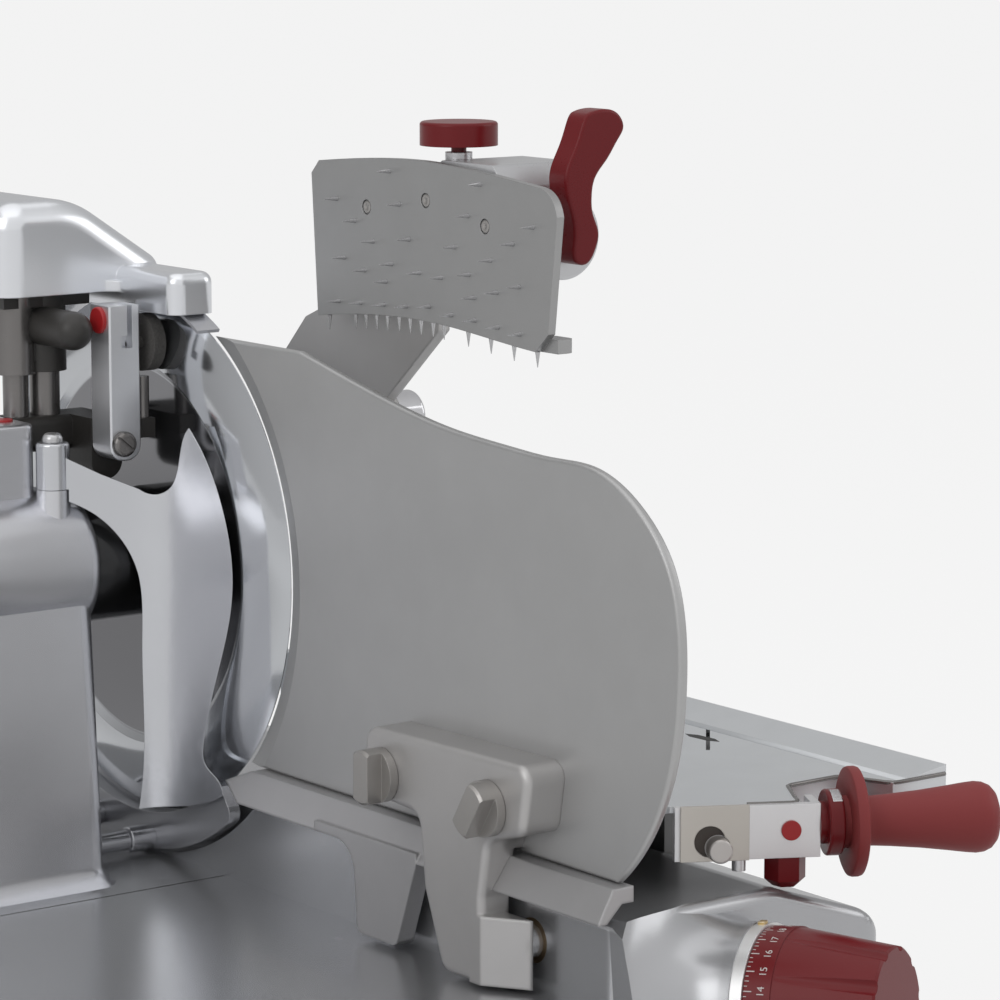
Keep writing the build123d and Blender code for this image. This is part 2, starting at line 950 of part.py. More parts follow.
def ring_sector(inner, outer, first, last):
    """Part of a ring round the blade, drawn in Y and Z."""
    middle = (first + last) / 2
    outside = ThreePointArc(polar(outer, first), polar(outer, middle), polar(outer, last))
    inside = ThreePointArc(polar(inner, first), polar(inner, middle), polar(inner, last))
    ends = Line(outside @ 0, inside @ 0) + Line(outside @ 1, inside @ 1)
    return make_face(outside + inside + ends)


def make_guard():
    """Guard ring round the back of the blade, with a deeper plate below."""
    ring = along_x(ring_sector(guard_inner, guard_outer, guard_front_angle, 360 - guard_top_angle),
        guard_left, guard_right)
    lower = ring_sector(guard_inner + guard_thickness / 2, guard_inner + guard_plate_depth,
        guard_front_angle - 1, guard_foot_angle)
    plate = along_x(lower, guard_left, guard_left + guard_plate_width)
    tip = plate.edges().filter_by(Axis.X).sort_by_distance((0, *polar(guard_inner + guard_plate_depth,
        guard_front_angle - 1)))[:1]
    return ring + fillet(tip, guard_plate_depth / 3)


def make_guard_stays():
    """Rods with collars that carry the guard from the column."""
    stays = []
    tip = guard_left - stay_collar_length
    for place in (polar(guard_inner + stay_reach, stay_angle), polar(guard_inner + stay_reach,
        rear_stay_angle)):
        collar = bar((tip, *place), (guard_left, *place), stay_collar_radius)
        collar = fillet(rim_edges(collar, Axis.X, tip), 2)
        rod = bar((column_foot_right, *place), (guard_left, *place), stay_radius)
        stays.append(rod - column(0) - column_skirt() + collar)
    return stays


# Slice deflector

def curve(*points):
    """Smooth line through points."""
    return Spline(*points)


def scoop_plan():
    """Plan of the deflector: thin along the blade, curved away from it and on to the hinge boss."""
    outer = curve(
        (deflector_edge_x - 0.8, deflector_edge_y),
        (-17.5, -92),
        (-34, -55),
        (-58, -41),
        (deflector_pin_x, deflector_pin_y - 9),
    )
    inner = curve(
        (deflector_edge_x, deflector_edge_y),
        (-15, -92),
        (-29, -51),
        (-55, -33),
        (deflector_pin_x, deflector_pin_y - 1),
    )
    return make_face(outer + inner + Line(outer @ 0, inner @ 0) + Line(outer @ 1, inner @ 1))


def scoop_face():
    """Outline of scoop and arm, drawn on the plane of the scoop."""
    edge = curve((-83, 89), (-117, 47), (-129, -2), (-110, -64), (-94, -113))
    heel = curve(edge @ 1, (-97, -121), (-110, -128), (-116, -137))
    sole = curve(heel @ 1, (-97, -145), (-62, -153), (-24, -160))
    side = curve(sole @ 1, (-29, -136), (-30, -52), (-26, -8), (2, 17), (50, 28), (62, 29))
    top = Polyline(side @ 1, (62, 57), (10, 48.5), (-29, 44))
    notch = curve(top @ 1, (-43, 42.5), (-54, 45), (-64, 51), (-70, 61), (-75, 78), edge @ 0)
    return make_face(edge + heel + sole + side + top + notch)


def make_deflector():
    """Scoop plate on a hinged arm that leads the slice away from the blade, bevelled at its edges."""
    reach = (deflector_plane_x - deflector_pin_x) / deflector_sight[0] * 1.5
    start = Vector(deflector_plane_x, 0, 0) - Vector(*deflector_sight) * reach
    side = extrude(Pos(*start) * (Plane.YZ * scoop_face()), 2 * reach, dir=deflector_sight)
    scoop = side & along_z(scoop_plan(), -2 * blade_radius, 2 * blade_radius)
    boss_top = deflector_boss_foot + deflector_boss_height
    hinge = (deflector_pin_x, deflector_pin_y)
    pad = bar((*hinge, 0), (*hinge, deflector_boss_foot), deflector_boss_radius + 1)
    boss = bar((*hinge, deflector_boss_foot), (*hinge, boss_top), deflector_boss_radius)
    boss = fillet(rim_edges(boss, Axis.Z, boss_top), 2)
    bore = bar((*hinge, deflector_boss_foot), (*hinge, boss_top), deflector_pin_radius + running_fit)
    barrel = bar((head_rear, 0, 0), (barrel_front + 3, 0, 0), barrel_radius + 2)
    return scoop - pad - barrel + boss - bore


def make_deflector_pin():
    """Hinge pin of the deflector with a domed head."""
    seat = deflector_boss_foot + deflector_boss_height + seat_gap
    top = seat + deflector_head_height
    shank = bar((deflector_pin_x, deflector_pin_y, 26), (deflector_pin_x, deflector_pin_y, seat),
        deflector_pin_radius)
    head = bar((deflector_pin_x, deflector_pin_y, seat), (deflector_pin_x, deflector_pin_y, top),
        deflector_head_radius)
    return shank + fillet(rim_edges(head, Axis.Z, top), 4)


# Thickness gauge

def make_gauge_plate():
    """Plate that sets the slice thickness, hollowed along the blade with a bevelled edge."""
    radius = blade_radius + gauge_gap
    rear = Line((0, gauge_bottom), (0, gauge_top))
    crest = Line((0, gauge_top), (gauge_shoulder_y, gauge_top))
    slope = gauge_neck_y - gauge_shoulder_y
    fall = gauge_top - gauge_neck_z
    nose = gauge_corner_y - gauge_front
    back = curve(
        (gauge_shoulder_y, gauge_top),
        (gauge_shoulder_y + 0.43 * slope, gauge_neck_z + 0.42 * fall),
        (gauge_shoulder_y + 0.73 * slope, gauge_neck_z + 0.12 * fall),
        (gauge_neck_y, gauge_neck_z),
        (gauge_corner_y + 0.53 * nose, gauge_corner_z),
        (gauge_corner_y, 0.99 * gauge_corner_z),
        (gauge_front + 0.46 * nose, 0.82 * gauge_corner_z),
        (gauge_front + 0.16 * nose, 0.6 * gauge_corner_z),
        (gauge_front, 0.05 * gauge_corner_z),
        (gauge_front + 0.16 * nose, 0.51 * gauge_bottom),
        (gauge_toe_y, gauge_bottom),
    )
    sole = Line((gauge_toe_y, gauge_bottom), (0, gauge_bottom))
    plate = along_x(make_face(rear + crest + back + sole), -gauge_thickness, 0)
    for face in (0, -gauge_thickness):
        plate = fillet(rim_edges(plate, Axis.X, face).sort_by(Axis.Y)[:-1], gauge_edge_round)
    plate = plate - bar((-gauge_thickness, 0, 0), (0, 0, 0), radius)
    bevel = outline(
        (-gauge_thickness - 1, 0),
        (-gauge_thickness - 1, radius + gauge_bevel),
        (-gauge_thickness, radius + gauge_bevel),
        (-gauge_bevel_land, radius),
        (-gauge_bevel_land, 0),
    )
    return plate - turned(bevel)


def make_gauge_arm():
    """Cast arm of the gauge plate, with a lobe for each clamp knob and a foot on the front shaft."""
    face = outline(
        (arm_rear, arm_lobe_bottom + 3),
        (arm_rear - 3, arm_top - 3),
        (arm_front, arm_top),
        (arm_front + 7, arm_lobe_bottom + 6),
        (arm_leg_front, arm_lobe_bottom - 3),
        (arm_foot_front, -140),
        (arm_foot_front, table_top + table_clearance),
        (arm_foot_rear, table_top + table_clearance),
        (arm_leg_rear - 5, -145),
        (arm_leg_rear, arm_lobe_bottom),
    )
    face = fillet(face.vertices(), arm_round)
    left = -gauge_thickness - arm_thickness
    arm = along_x(face, left, -gauge_thickness)
    arm = fillet(rim_edges(arm, Axis.X, left), arm_edge_round)
    flare = outline(
        (left, arm_foot_front),
        (arm_foot_back, arm_foot_front - arm_flare),
        (arm_foot_back, arm_foot_front + 10),
        (left, arm_foot_front + 10),
    )
    foot = table_top + table_clearance
    arm = arm - block(arm_back, 0, arm_front, arm_rear, foot, arm_lobe_bottom - arm_round)
    arm = arm + along_z(flare, foot, foot + arm_foot_height)
    for knob_y in (clamp_knob_rear_y, clamp_knob_front_y):
        stud = bar((left, knob_y, clamp_knob_z), (-gauge_thickness - 6, knob_y, clamp_knob_z),
            clamp_stud_radius + running_fit)
        arm = arm - stud
    return arm - shaft_at(front_shaft_y, gauge_shaft_radius + fixed_fit, shaft_root)


def shaft_at(y, radius, start):
    """Gauge shaft or its bore, from a start to the yoke end."""
    return bar((start, y, gauge_shaft_z), (gauge_shaft_end, y, gauge_shaft_z), radius)


def make_gauge_rail():
    """Rail under the plate with a slanted apron and a leg on the rear shaft."""
    top = gauge_bottom - rail_drop
    bottom = top - rail_height
    inner = -rail_drop
    outer = inner - rail_width
    toe = outer - rail_apron_out
    low = bottom - rail_apron_depth
    section = outline(
        (inner, top),
        (outer, top),
        (toe, low),
        (toe + rail_apron_thickness, low),
        (outer + rail_apron_thickness, bottom),
        (inner, bottom),
    )
    tip = -119
    silhouette = outline(
        (rail_front, top), (tip - 22, top), (tip, low + 10), (tip - 25, low - 2), (rail_front, low - 2)
    )
    rail = along_y(section, rail_front, tip) & along_x(silhouette, toe, inner)
    foot = table_top + table_clearance + 1
    leg = outline(
        (rail_leg_rear + 2 * rail_leg_root, low + 6), (rail_leg_rear + 2 * rail_leg_root, low),
        (rail_leg_rear, low), (rail_leg_rear - 4, foot), (rail_leg_front + 20, foot),
        (rail_leg_front, low), (rail_leg_front, low + 6)
    )
    leg = soften(leg, (rail_leg_rear, low), rail_leg_root)
    leg = soften(leg, (rail_leg_front + 20, foot), 6)
    leg = soften(leg, (rail_leg_rear - 4, foot), 6)
    legs = along_x(leg, toe, toe + rail_leg_thickness)
    rail = rail + legs - make_gauge_arm()
    return rail - shaft_at(rear_shaft_y, gauge_shaft_radius + fixed_fit, toe + 4)


def make_gauge_slide():
    """Two guide shafts of the gauge joined by a yoke inside the base."""
    toe = -rail_drop - rail_width - rail_apron_out
    shafts = shaft_at(front_shaft_y, gauge_shaft_radius, shaft_root)
    shafts = shafts + shaft_at(rear_shaft_y, gauge_shaft_radius, toe + 4)
    yoke = block(
        gauge_shaft_end - yoke_thickness,
        gauge_shaft_end,
        front_shaft_y - yoke_height / 2,
        rear_shaft_y + yoke_height / 2,
        gauge_shaft_z - yoke_height / 2,
        gauge_shaft_z + yoke_height / 2,
    )
    return shafts + yoke


def make_shaft_bushes():
    """Bronze bushes of the gauge shafts in the wall of the base."""
    bushes = []
    for shaft_y in (front_shaft_y, rear_shaft_y):
        bushes.append(
            pipe(
                (wall_x, shaft_y, gauge_shaft_z),
                (wall_x + shaft_bush_length, shaft_y, gauge_shaft_z),
                shaft_bush_radius,
                gauge_shaft_radius + running_fit,
            )
        )
    return bushes


def make_clamp_knob(y, turn):
    """Clamp knob with a two-flat grip, on a stud in the arm."""
    face = -gauge_thickness - arm_thickness - seat_gap
    neck = face - clamp_knob_length + clamp_knob_bar_depth
    tip = face - clamp_knob_length
    body = bar((tip, y, clamp_knob_z), (face, y, clamp_knob_z), clamp_knob_radius)
    body = chamfer(rim_edges(body, Axis.X, tip), 1.5)
    reach = clamp_knob_radius * 2
    side = block(tip, neck, clamp_knob_bar / 2, reach, -reach, reach)
    for half_turn in (0, 180):
        body = body - Pos(0, y, clamp_knob_z) * Rot(turn + half_turn, 0, 0) * side
    stud = bar((face, y, clamp_knob_z), (-gauge_thickness - 7, y, clamp_knob_z), clamp_stud_radius)
    return body + stud


# Thickness dial

def dial_disc(radius, start, end):
    """Round disc on the dial axis between two depths."""
    return extrude(dial_plane(start) * Circle(radius), end - start)


def make_dial_ring():
    """Fixed ring on the dial boss, with the raised index at its top."""
    mark = dial_plane(1.5) * Pos(2, dial_ring_radius) * Rectangle(index_width, 3)
    ring = dial_disc(dial_ring_radius, 0, dial_ring_width) - dial_disc(dial_shaft_radius + 3, 0,
        dial_ring_width)
    return ring + extrude(mark, dial_ring_width - 3)


def make_dial_knob():
    """Dial knob: a skirt for the scale and a fluted, tapered grip."""
    seat = dial_ring_width + seat_gap
    grip = dial_skirt_width + seat
    end = seat + dial_length
    knob = dial_disc(dial_skirt_radius, seat, grip)
    cone = dial_plane((grip + end) / 2) * Cone(dial_skirt_radius - 0.6, dial_nose_radius, end - grip)
    knob = knob + cone
    knob = chamfer(knob.edges().sort_by_distance(dial_plane(end).origin)[:1], 1.2)
    for count in range(dial_flute_count):
        turn = Rot(0, 0, 360 / dial_flute_count * count)
        start = dial_plane(grip + 2) * turn * Pos(dial_skirt_radius + dial_flute_radius - 1, 0)
        stop = dial_plane(end + 1) * turn * Pos(dial_nose_radius + dial_flute_radius - 3, 0)
        knob = knob - bar(tuple(start.position), tuple(stop.position), dial_flute_radius)
    return knob - dial_disc(dial_shaft_radius + fixed_fit, seat, seat + 12)


def make_dial_shaft():
    """Dial shaft with the scroll cam at its inner end."""
    shaft = dial_disc(dial_shaft_radius, -dial_shaft_depth, dial_ring_width + seat_gap + 12)
    cam = dial_plane(-dial_shaft_depth) * Pos(3, 0) * Circle(dial_cam_radius)
    return shaft + extrude(cam, dial_cam_width)


# Carriage

def bracket_place():
    """Place of the handle bracket: X along it, Y inward under the tray."""
    return Pos(bracket_x, bracket_y, 0) * Rot(0, 0, -bracket_turn)


def bracket_point(along, inward):
    """X and Y of a point of the bracket."""
    point = (bracket_place() * Pos(along, inward, 0)).position
    return (point.X, point.Y)


def tray_plan():
    """Plan of the tray floor with the notch behind the handle."""
    return outline(
        (tray_left, tray_rear),
        (tray_right - tray_rim_width, tray_rear),
        (tray_right - tray_rim_width, tray_front),
        (tray_notch_right + 6, tray_front),
        (tray_notch_right - 7, tray_notch_y),
        (tray_notch_left, tray_notch_y),
        (tray_notch_left - 19, tray_notch_y - 30),
        bracket_point(bracket_length - 14, bracket_thickness + seat_gap),
        bracket_point(-2, bracket_thickness + seat_gap),
        (tray_left, bracket_y + 12),
    )


def make_tray():
    """Food tray: floor, folded right rim, front lip, rear fence and the blocks of the press rod."""
    under = tray_top - tray_thickness
    plan = tray_plan()
    fold = tray_right - tray_rim_width
    tray = along_z(plan, under, tray_top)
    rim = outline(
        (fold, under),
        (fold, tray_top),
        (tray_right, tray_top + tray_rim_rise),
        (tray_right, under + tray_rim_rise),
    )
    tray = tray + along_y(rim, tray_front, tray_rear)
    hem = outline(
        (fold, tray_top - tray_lip), (fold, under + 1), (tray_right, under + tray_rim_rise + 1),
        (tray_right, tray_top - tray_lip)
    )
    tray = tray + along_y(hem, tray_front, tray_front + tray_fence_thickness)
    band = along_z(plan - offset(plan, -tray_fence_thickness), tray_top - tray_lip, tray_top)
    front = block(tray_notch_left - 21, tray_right, tray_front, tray_notch_y + 4,
        tray_top - tray_lip, tray_top)
    tray = tray + (band & front)
    fence = block(
        tray_left, tray_right, tray_fence_y, tray_fence_y + tray_fence_thickness, under,
        tray_top + tray_fence_height
    )
    tray = tray + fence
    for end in (tray_left, tray_right - press_block_thickness):
        tray = tray + block(
            end,
            end + press_block_thickness,
            tray_fence_y,
            tray_rear,
            under,
            press_rod_z + press_block_width / 2,
        )
    tray = tray - bar(
        (tray_left, press_pivot_y, press_rod_z), (tray_right, press_pivot_y, press_rod_z),
        press_rod_radius + fixed_fit
    )
    for start, end, width in (((193, -308), (195, -334), 1.2), ((216, -300), (175, -349), 2.4)):
        run = Vector(*end) - Vector(*start)
        slit = Plane(origin=(*start, under), x_dir=(run.X, run.Y, 0), z_dir=(0, 0, 1))
        tray = tray - slit * Pos(run.length / 2, 0, tray_thickness / 2) * Box(run.length, width,
            tray_thickness * 3)
    return tray


def make_carriage_frame():
    """Cast plate under the tray with the fork and axle of the roller."""
    under = tray_top - tray_thickness
    middle = Pos((frame_left + frame_right) / 2, (frame_front + frame_rear) / 2)
    plan = middle * RectangleRounded(frame_right - frame_left, frame_rear - frame_front, 14)
    frame = along_z(plan, under - frame_wall, under)
    frame = chamfer(rim_edges(frame, Axis.Z, under - frame_wall), 3)
    roller_y = (carriage_foot_front + carriage_foot_rear) / 2
    cheek = roller_width / 2 + slip_gap
    axle_z = roller_axle_z()
    for x0, x1 in ((roller_x - cheek - 3, roller_x - cheek), (roller_x + cheek, roller_x + cheek + 3)):
        frame = frame + block(x0, x1, roller_y - 8, roller_y + 8, axle_z - 7, under - frame_wall)
    axle = bar((roller_x - cheek - 3, roller_y, axle_z), (roller_x + cheek + 3, roller_y, axle_z),
        roller_axle_radius)
    return frame + axle


def roller_axle_z():
    """Height of the roller axle over its track."""
    return housing_top + track_thickness + roller_radius + seat_gap


def make_roller():
    """Roller that carries the left of the carriage on its track."""
    roller_y = (carriage_foot_front + carriage_foot_rear) / 2
    place = (roller_y, roller_axle_z())
    half = roller_width / 2
    roller = pipe(
        (roller_x - half, *place), (roller_x + half, *place), roller_radius,
        roller_axle_radius + running_fit
    )
    return roller


def make_slide_block():
    """Foot of the carriage and the block that runs on the guide rod inside the base."""
    half = carriage_foot_width / 2
    half_block = slide_block_width / 2
    top = guide_z + slide_block_height / 2
    foot = block(
        foot_x - half, foot_x + half, carriage_foot_front, carriage_foot_rear, top,
        tray_top - tray_thickness - frame_wall
    )
    body = block(
        foot_x - half_block, foot_x + half_block, carriage_foot_front, carriage_foot_rear,
        top - slide_block_height, top
    )
    bore = bar(
        (foot_x, carriage_foot_front, guide_z), (foot_x, carriage_foot_rear, guide_z),
        slide_bush_radius + fixed_fit
    )
    return foot + body - bore


def make_slide_bushes():
    """Bronze bushes of the carriage on the guide rod."""
    bushes = []
    for start in (carriage_foot_front, carriage_foot_rear - slide_bush_length):
        bushes.append(
            pipe(
                (foot_x, start, guide_z),
                (foot_x, start + slide_bush_length, guide_z),
                slide_bush_radius,
                guide_radius + running_fit,
            )
        )
    return bushes


def make_guides():
    """Guide rod inside the base and the track of the roller on top of it."""
    rod = bar((foot_x, guide_front, guide_z), (foot_x, guide_rear, guide_z), guide_radius)
    reach = roller_radius + 8
    middle = (carriage_foot_front + carriage_foot_rear) / 2
    track = block(
        roller_x - track_width / 2,
        roller_x + track_width / 2,
        middle - reach,
        middle + carriage_travel + reach,
        housing_top,
        housing_top + track_thickness,
    )
    return [rod, track]


# Handle on its bracket

def pin_hole(radius, y0, y1):
    """Round bar along the bracket pin."""
    pin_z = tray_top - bracket_pin_drop
    return bar((bracket_pin_at, y0, pin_z), (bracket_pin_at, y1, pin_z), radius)


def make_bracket():
    """Bent bracket in front of the tray, with a flange below, an end plate and a stop stud."""
    top = tray_top
    low = top - bracket_height
    under = tray_top - tray_thickness
    sheet = block(0, bracket_length, 0, bracket_thickness, low, top)
    flange = block(4, bracket_length - 24, 0, bracket_return, under - bracket_thickness, under)
    sole_start = bracket_pin_at + bracket_pin_radius + 2
    sole = block(sole_start, bracket_length, 0, bracket_return - 4, low, low + bracket_thickness)
    end = block(bracket_length - bracket_thickness, bracket_length, 0, bracket_return - 4, low, top)
    stud = bar((sole_start + 5, 8, low - 8), (sole_start + 5, 8, low), 4)
    bracket = sheet + flange + sole + end + stud
    bracket = bracket - pin_hole(bracket_pin_radius + running_fit, 0, bracket_thickness)
    stem = release_stem_radius + running_fit
    bracket = bracket - bar((release_at, 11, low), (release_at, 11, low + bracket_thickness), stem)
    axis_z = tray_top - handle_drop
    bracket = bracket - bar(
        (bracket_length - bracket_thickness, handle_inward, axis_z),
        (bracket_length, handle_inward, axis_z),
        handle_stud_radius + fixed_fit,
    )
    return bracket_place() * bracket


def make_bracket_plate():
    """Stainless cover plate on the left of the bracket with the hole of the pin."""
    low = tray_top - bracket_height
    plate = block(3, bracket_seam, -2, 0, low, tray_top + 1)
    hole = bar((bracket_pin_at - 4.7, -2, tray_top - bracket_pin_drop + 4),
        (bracket_pin_at - 4.7, 0, tray_top - bracket_pin_drop + 4), bracket_hole_radius)
    return bracket_place() * (plate - hole - pin_hole(bracket_pin_radius + slip_gap, -2, 0))


def make_bracket_pin():
    """Push pin in the bracket."""
    pin = pin_hole(bracket_pin_radius, -2 - bracket_pin_proud, bracket_pin_length - bracket_pin_proud)
    rims = pin.edges().sort_by(Axis.Y)[:1]
    return bracket_place() * fillet(rims, 1.5)


def make_bracket_marker():
    """Red marker disc on the bracket."""
    place = (marker_at, tray_top - marker_drop)
    return bracket_place() * bar(
        (place[0], -marker_thickness, place[1]), (place[0], 0, place[1]), marker_radius
    )


def make_handle_collar():
    """Stepped collar and stud between the bracket and the grip."""
    middle = (handle_inward, tray_top - handle_drop)
    start = bracket_length
    step = start + handle_step
    end = start + handle_collar_length
    collar = bar((start, *middle), (step, *middle), handle_neck_radius)
    disc = bar((step, *middle), (end, *middle), handle_collar_radius)
    disc = fillet(rim_edges(disc, Axis.X, step) + rim_edges(disc, Axis.X, end), 1.5)
    stud = bar((start - bracket_thickness, *middle), (end + 30, *middle), handle_stud_radius)
    return bracket_place() * (collar + disc + stud)


def make_handle_grip():
    """Carriage handle: a neck, a hand guard flange and a tapered grip with a round end."""
    start = bracket_length + handle_collar_length
    guard = start + handle_neck_length
    grip = guard + handle_flange_width
    end = grip + handle_length
    profile = outline(
        (start, 0),
        (start, handle_root_radius),
        (guard, handle_root_radius),
        (guard, handle_flange_radius),
        (grip, handle_flange_radius),
        (grip, handle_root_radius),
        (end, handle_end_radius),
        (end, 0),
    )
    profile = soften(profile, (guard, handle_flange_radius), 2.5)
    profile = soften(profile, (grip, handle_flange_radius), 2.5)
    profile = soften(profile, (grip, handle_root_radius), 5)
    profile = soften(profile, (end, handle_end_radius), handle_end_round)
    middle = (handle_inward, tray_top - handle_drop)
    body = Pos(0, *middle) * revolve(profile, Axis.X)
    body = body - bar((start, *middle), (start + 30, *middle), handle_stud_radius + fixed_fit)
    return bracket_place() * body


def make_release_knob():
    """Release knob under the bracket."""
    top = tray_top - bracket_height - seat_gap
    low = top - release_height
    middle = Pos(release_at, 11)
    knob = along_z(middle * RegularPolygon(release_radius, 6), low, top)
    knob = chamfer(rim_edges(knob, Axis.Z, low), 4)
    stem = bar((release_at, 11, top), (release_at, 11, top + bracket_thickness + 4), release_stem_radius)
    return bracket_place() * (knob + stem)


# Meat press

def press_face():
    """Outline of the press plate in Y and Z."""
    crown = curve((-136, 254), (-190, 258.5), (-246, 260), (-300, 257), (-352, 252))
    nose = curve(crown @ 1, (-366, 247), (-372, 236))
    front = Polyline(nose @ 1, (-364, 169), (-352, 158))
    sole = curve((-352, 158), (-314, 161), (-266, 165), (-195, 165), (-134, 159))
    rear = Polyline(sole @ 1, (-128, 246), crown @ 0)
    return make_face(crown + nose + front + sole + rear)


def make_press_plate():
    """Press plate with a foot at its front and three countersunk screw seats."""
    back = press_plate_x + press_plate_thickness
    plate = along_x(press_face(), press_plate_x, back)
    foot = block(back - 1, back + press_foot_depth, -368, -346, press_bottom,
        press_bottom + press_foot_thickness)
    foot = fillet(foot.edges().filter_by(Axis.Z).sort_by(Axis.X)[-2:], press_foot_depth / 2)
    plate = plate + foot
    for place in ((-186, 229), (-246, 237), (-304, 226)):
        plate = plate - bar((press_plate_x, *place), (press_plate_x + 1.5, *place), press_screw_radius)
        plate = plate + bar((press_plate_x + 0.6, *place), (press_plate_x + 2, *place),
            press_screw_radius - 0.6)
    return plate


def make_press_spikes():
    """Spikes that hold the food, on the face and along the sole of the press plate."""
    face_places = [
        (-210, 252), (-300, 250), (-155, 232), (-220, 233), (-174, 220), (-288, 231), (-350, 229),
        (-193, 209),
        (-230, 213), (-275, 212), (-331, 218), (-163, 197), (-212, 197), (-310, 207), (-184, 191),
        (-240, 194),
        (-262, 193), (-289, 197), (-206, 186), (-337, 194), (-316, 189), (-294, 184), (-157, 170),
        (-180, 171),
        (-204, 172), (-227, 173), (-250, 175), (-272, 172), (-295, 171), (-317, 169), (-338, 167),
    ]
    spikes = []
    spike = Cone(spike_radius, 0.2, spike_length)
    for place in face_places:
        spikes.append(Pos(press_plate_x - spike_length / 2, *place) * Rot(0, -90, 0) * spike)
    edge = along_x(press_face(), press_plate_x, press_plate_x + press_plate_thickness)
    middle = press_plate_x + press_plate_thickness / 2
    for y in (-143, -171, -182, -193, -204, -216, -227, -238, -250, -261, -285, -307, -329, -351):
        probe = edge & bar((middle, y, press_bottom - 10), (middle, y, press_top), spike_radius)
        seat = probe.bounding_box().min.Z
        spikes.append(Pos(middle, y, seat - spike_length / 2) * Rot(180, 0, 0) * spike)
    return spikes


def make_press_arm():
    """Swing arm of the press: a folded sheet from the pivot hub to the back of the plate."""
    back = press_plate_x + press_plate_thickness
    face = outline(
        (-97, 154), (-73, 130), (-124, 113), (press_pivot_y, press_pivot_z), (-189, 117),
        (-237, 158), (-237, 196), (-140, 196), (-132, 168)
    )
    inner = press_arm_x
    outer = press_arm_x + press_arm_thickness
    arm = along_x(face, inner, outer)
    pad = block(back, inner, -226, -148, 170, 194)
    hub_start = (inner + outer) / 2 - press_hub_length / 2
    hub_end = hub_start + press_hub_length
    axis = (press_pivot_y, press_pivot_z)
    hub = bar((hub_start, *axis), (hub_end, *axis), press_hub_radius)
    arm = arm + pad + hub
    return arm - bar((hub_start, *axis), (hub_end, *axis), press_pin_radius + running_fit)


def make_press_post():
    """Sliding post of the press: sleeve on the rod, upright, head and pivot pin."""
    half = press_sleeve_length / 2
    axis = (press_pivot_y, press_rod_z)
    pivot = (press_pivot_y, press_pivot_z)
    start = press_post_x - half
    sleeve = bar((start, *axis), (start + press_sleeve_length, *axis), press_sleeve_radius)
    upright = bar((press_post_x, *axis), (press_post_x, *pivot), press_post_radius)
    hub_end = press_arm_x + (press_arm_thickness + press_hub_length) / 2
    head_end = press_post_x + press_head_length / 2
    head = bar((hub_end + seat_gap, *pivot), (head_end, *pivot), press_head_radius)
    head = fillet(rim_edges(head, Axis.X, head_end), 3)
    pin = bar((hub_end - press_hub_length - 2, *pivot), (head_end, *pivot), press_pin_radius)
    post = sleeve + upright + head + pin
    return post - bar((start, *axis), (start + press_sleeve_length, *axis), press_rod_radius + running_fit)


def make_press_rod():
    """Steel rod along which the press slides towards the blade."""
    return bar((tray_left, press_pivot_y, press_rod_z), (tray_right, press_pivot_y, press_rod_z),
        press_rod_radius)


def make_press_housing():
    """Housing of the press lock behind the plate, with a round boss and the seat of the knob."""
    back = press_plate_x + press_plate_thickness
    side = outline(
        (press_housing_rear, 200), (press_housing_rear, 250), (press_housing_rear - 16, 261),
        (press_housing_front + 10, 261),
        (press_housing_front, 248), (press_housing_front, 200)
    )
    housing = along_x(side, back, back + press_housing_depth)
    housing = fillet(housing.edges().filter_by(Axis.X), 4)
    housing = housing + bar((press_knob_x, press_knob_y, 240),
        (press_knob_x, press_knob_y, press_seat_z), press_stem_radius + 1)
    boss_end = press_housing_front - press_boss_length
    boss = bar((press_boss_x, press_housing_front, press_boss_z),
        (press_boss_x, boss_end, press_boss_z), press_boss_radius)
    housing = housing + fillet(rim_edges(boss, Axis.Y, boss_end), 2)
    housing = housing - press_lever_pin(press_lever_pin_radius + running_fit, boss_end)
    stem = bar(
        (press_knob_x, press_knob_y, press_seat_z - 20), (press_knob_x, press_knob_y, press_seat_z),
        press_neck_radius + running_fit
    )
    return housing - stem


def press_lever_pin(radius, start):
    """Pivot of the press lever, or its bore in the boss."""
    return bar((press_boss_x, start, press_boss_z), (press_boss_x, start + 22, press_boss_z), radius)


def make_press_knob():
    """Flat round knob that locks the press plate."""
    low = press_seat_z + press_knob_rise
    top = low + press_knob_height
    knob = bar((press_knob_x, press_knob_y, low), (press_knob_x, press_knob_y, top), press_knob_radius)
    knob = fillet(rim_edges(knob, Axis.Z, top), 2)
    neck = bar((press_knob_x, press_knob_y, press_seat_z - 18), (press_knob_x, press_knob_y, low),
        press_neck_radius)
    return knob + neck


def make_press_lever():
    """Curved lever on the boss of the press."""
    seat = press_housing_front - press_boss_length - seat_gap
    points = [
        (89, 291), (101, 293), (111, 290), (115, 282), (111, 275), (103, 264), (94, 253), (92, 243),
        (93, 233),
        (97, 222), (95, 213), (87, 204), (80, 206), (79, 219), (78, 231), (73, 247), (73, 258),
        (79, 271), (84, 283),
    ]
    lever = along_y(make_face(Spline(*points, periodic=True)), seat - press_lever_thickness, seat)
    lever = fillet(rim_edges(lever, Axis.Y, seat - press_lever_thickness), 2)
    return lever + press_lever_pin(press_lever_pin_radius, seat)


# Sharpener

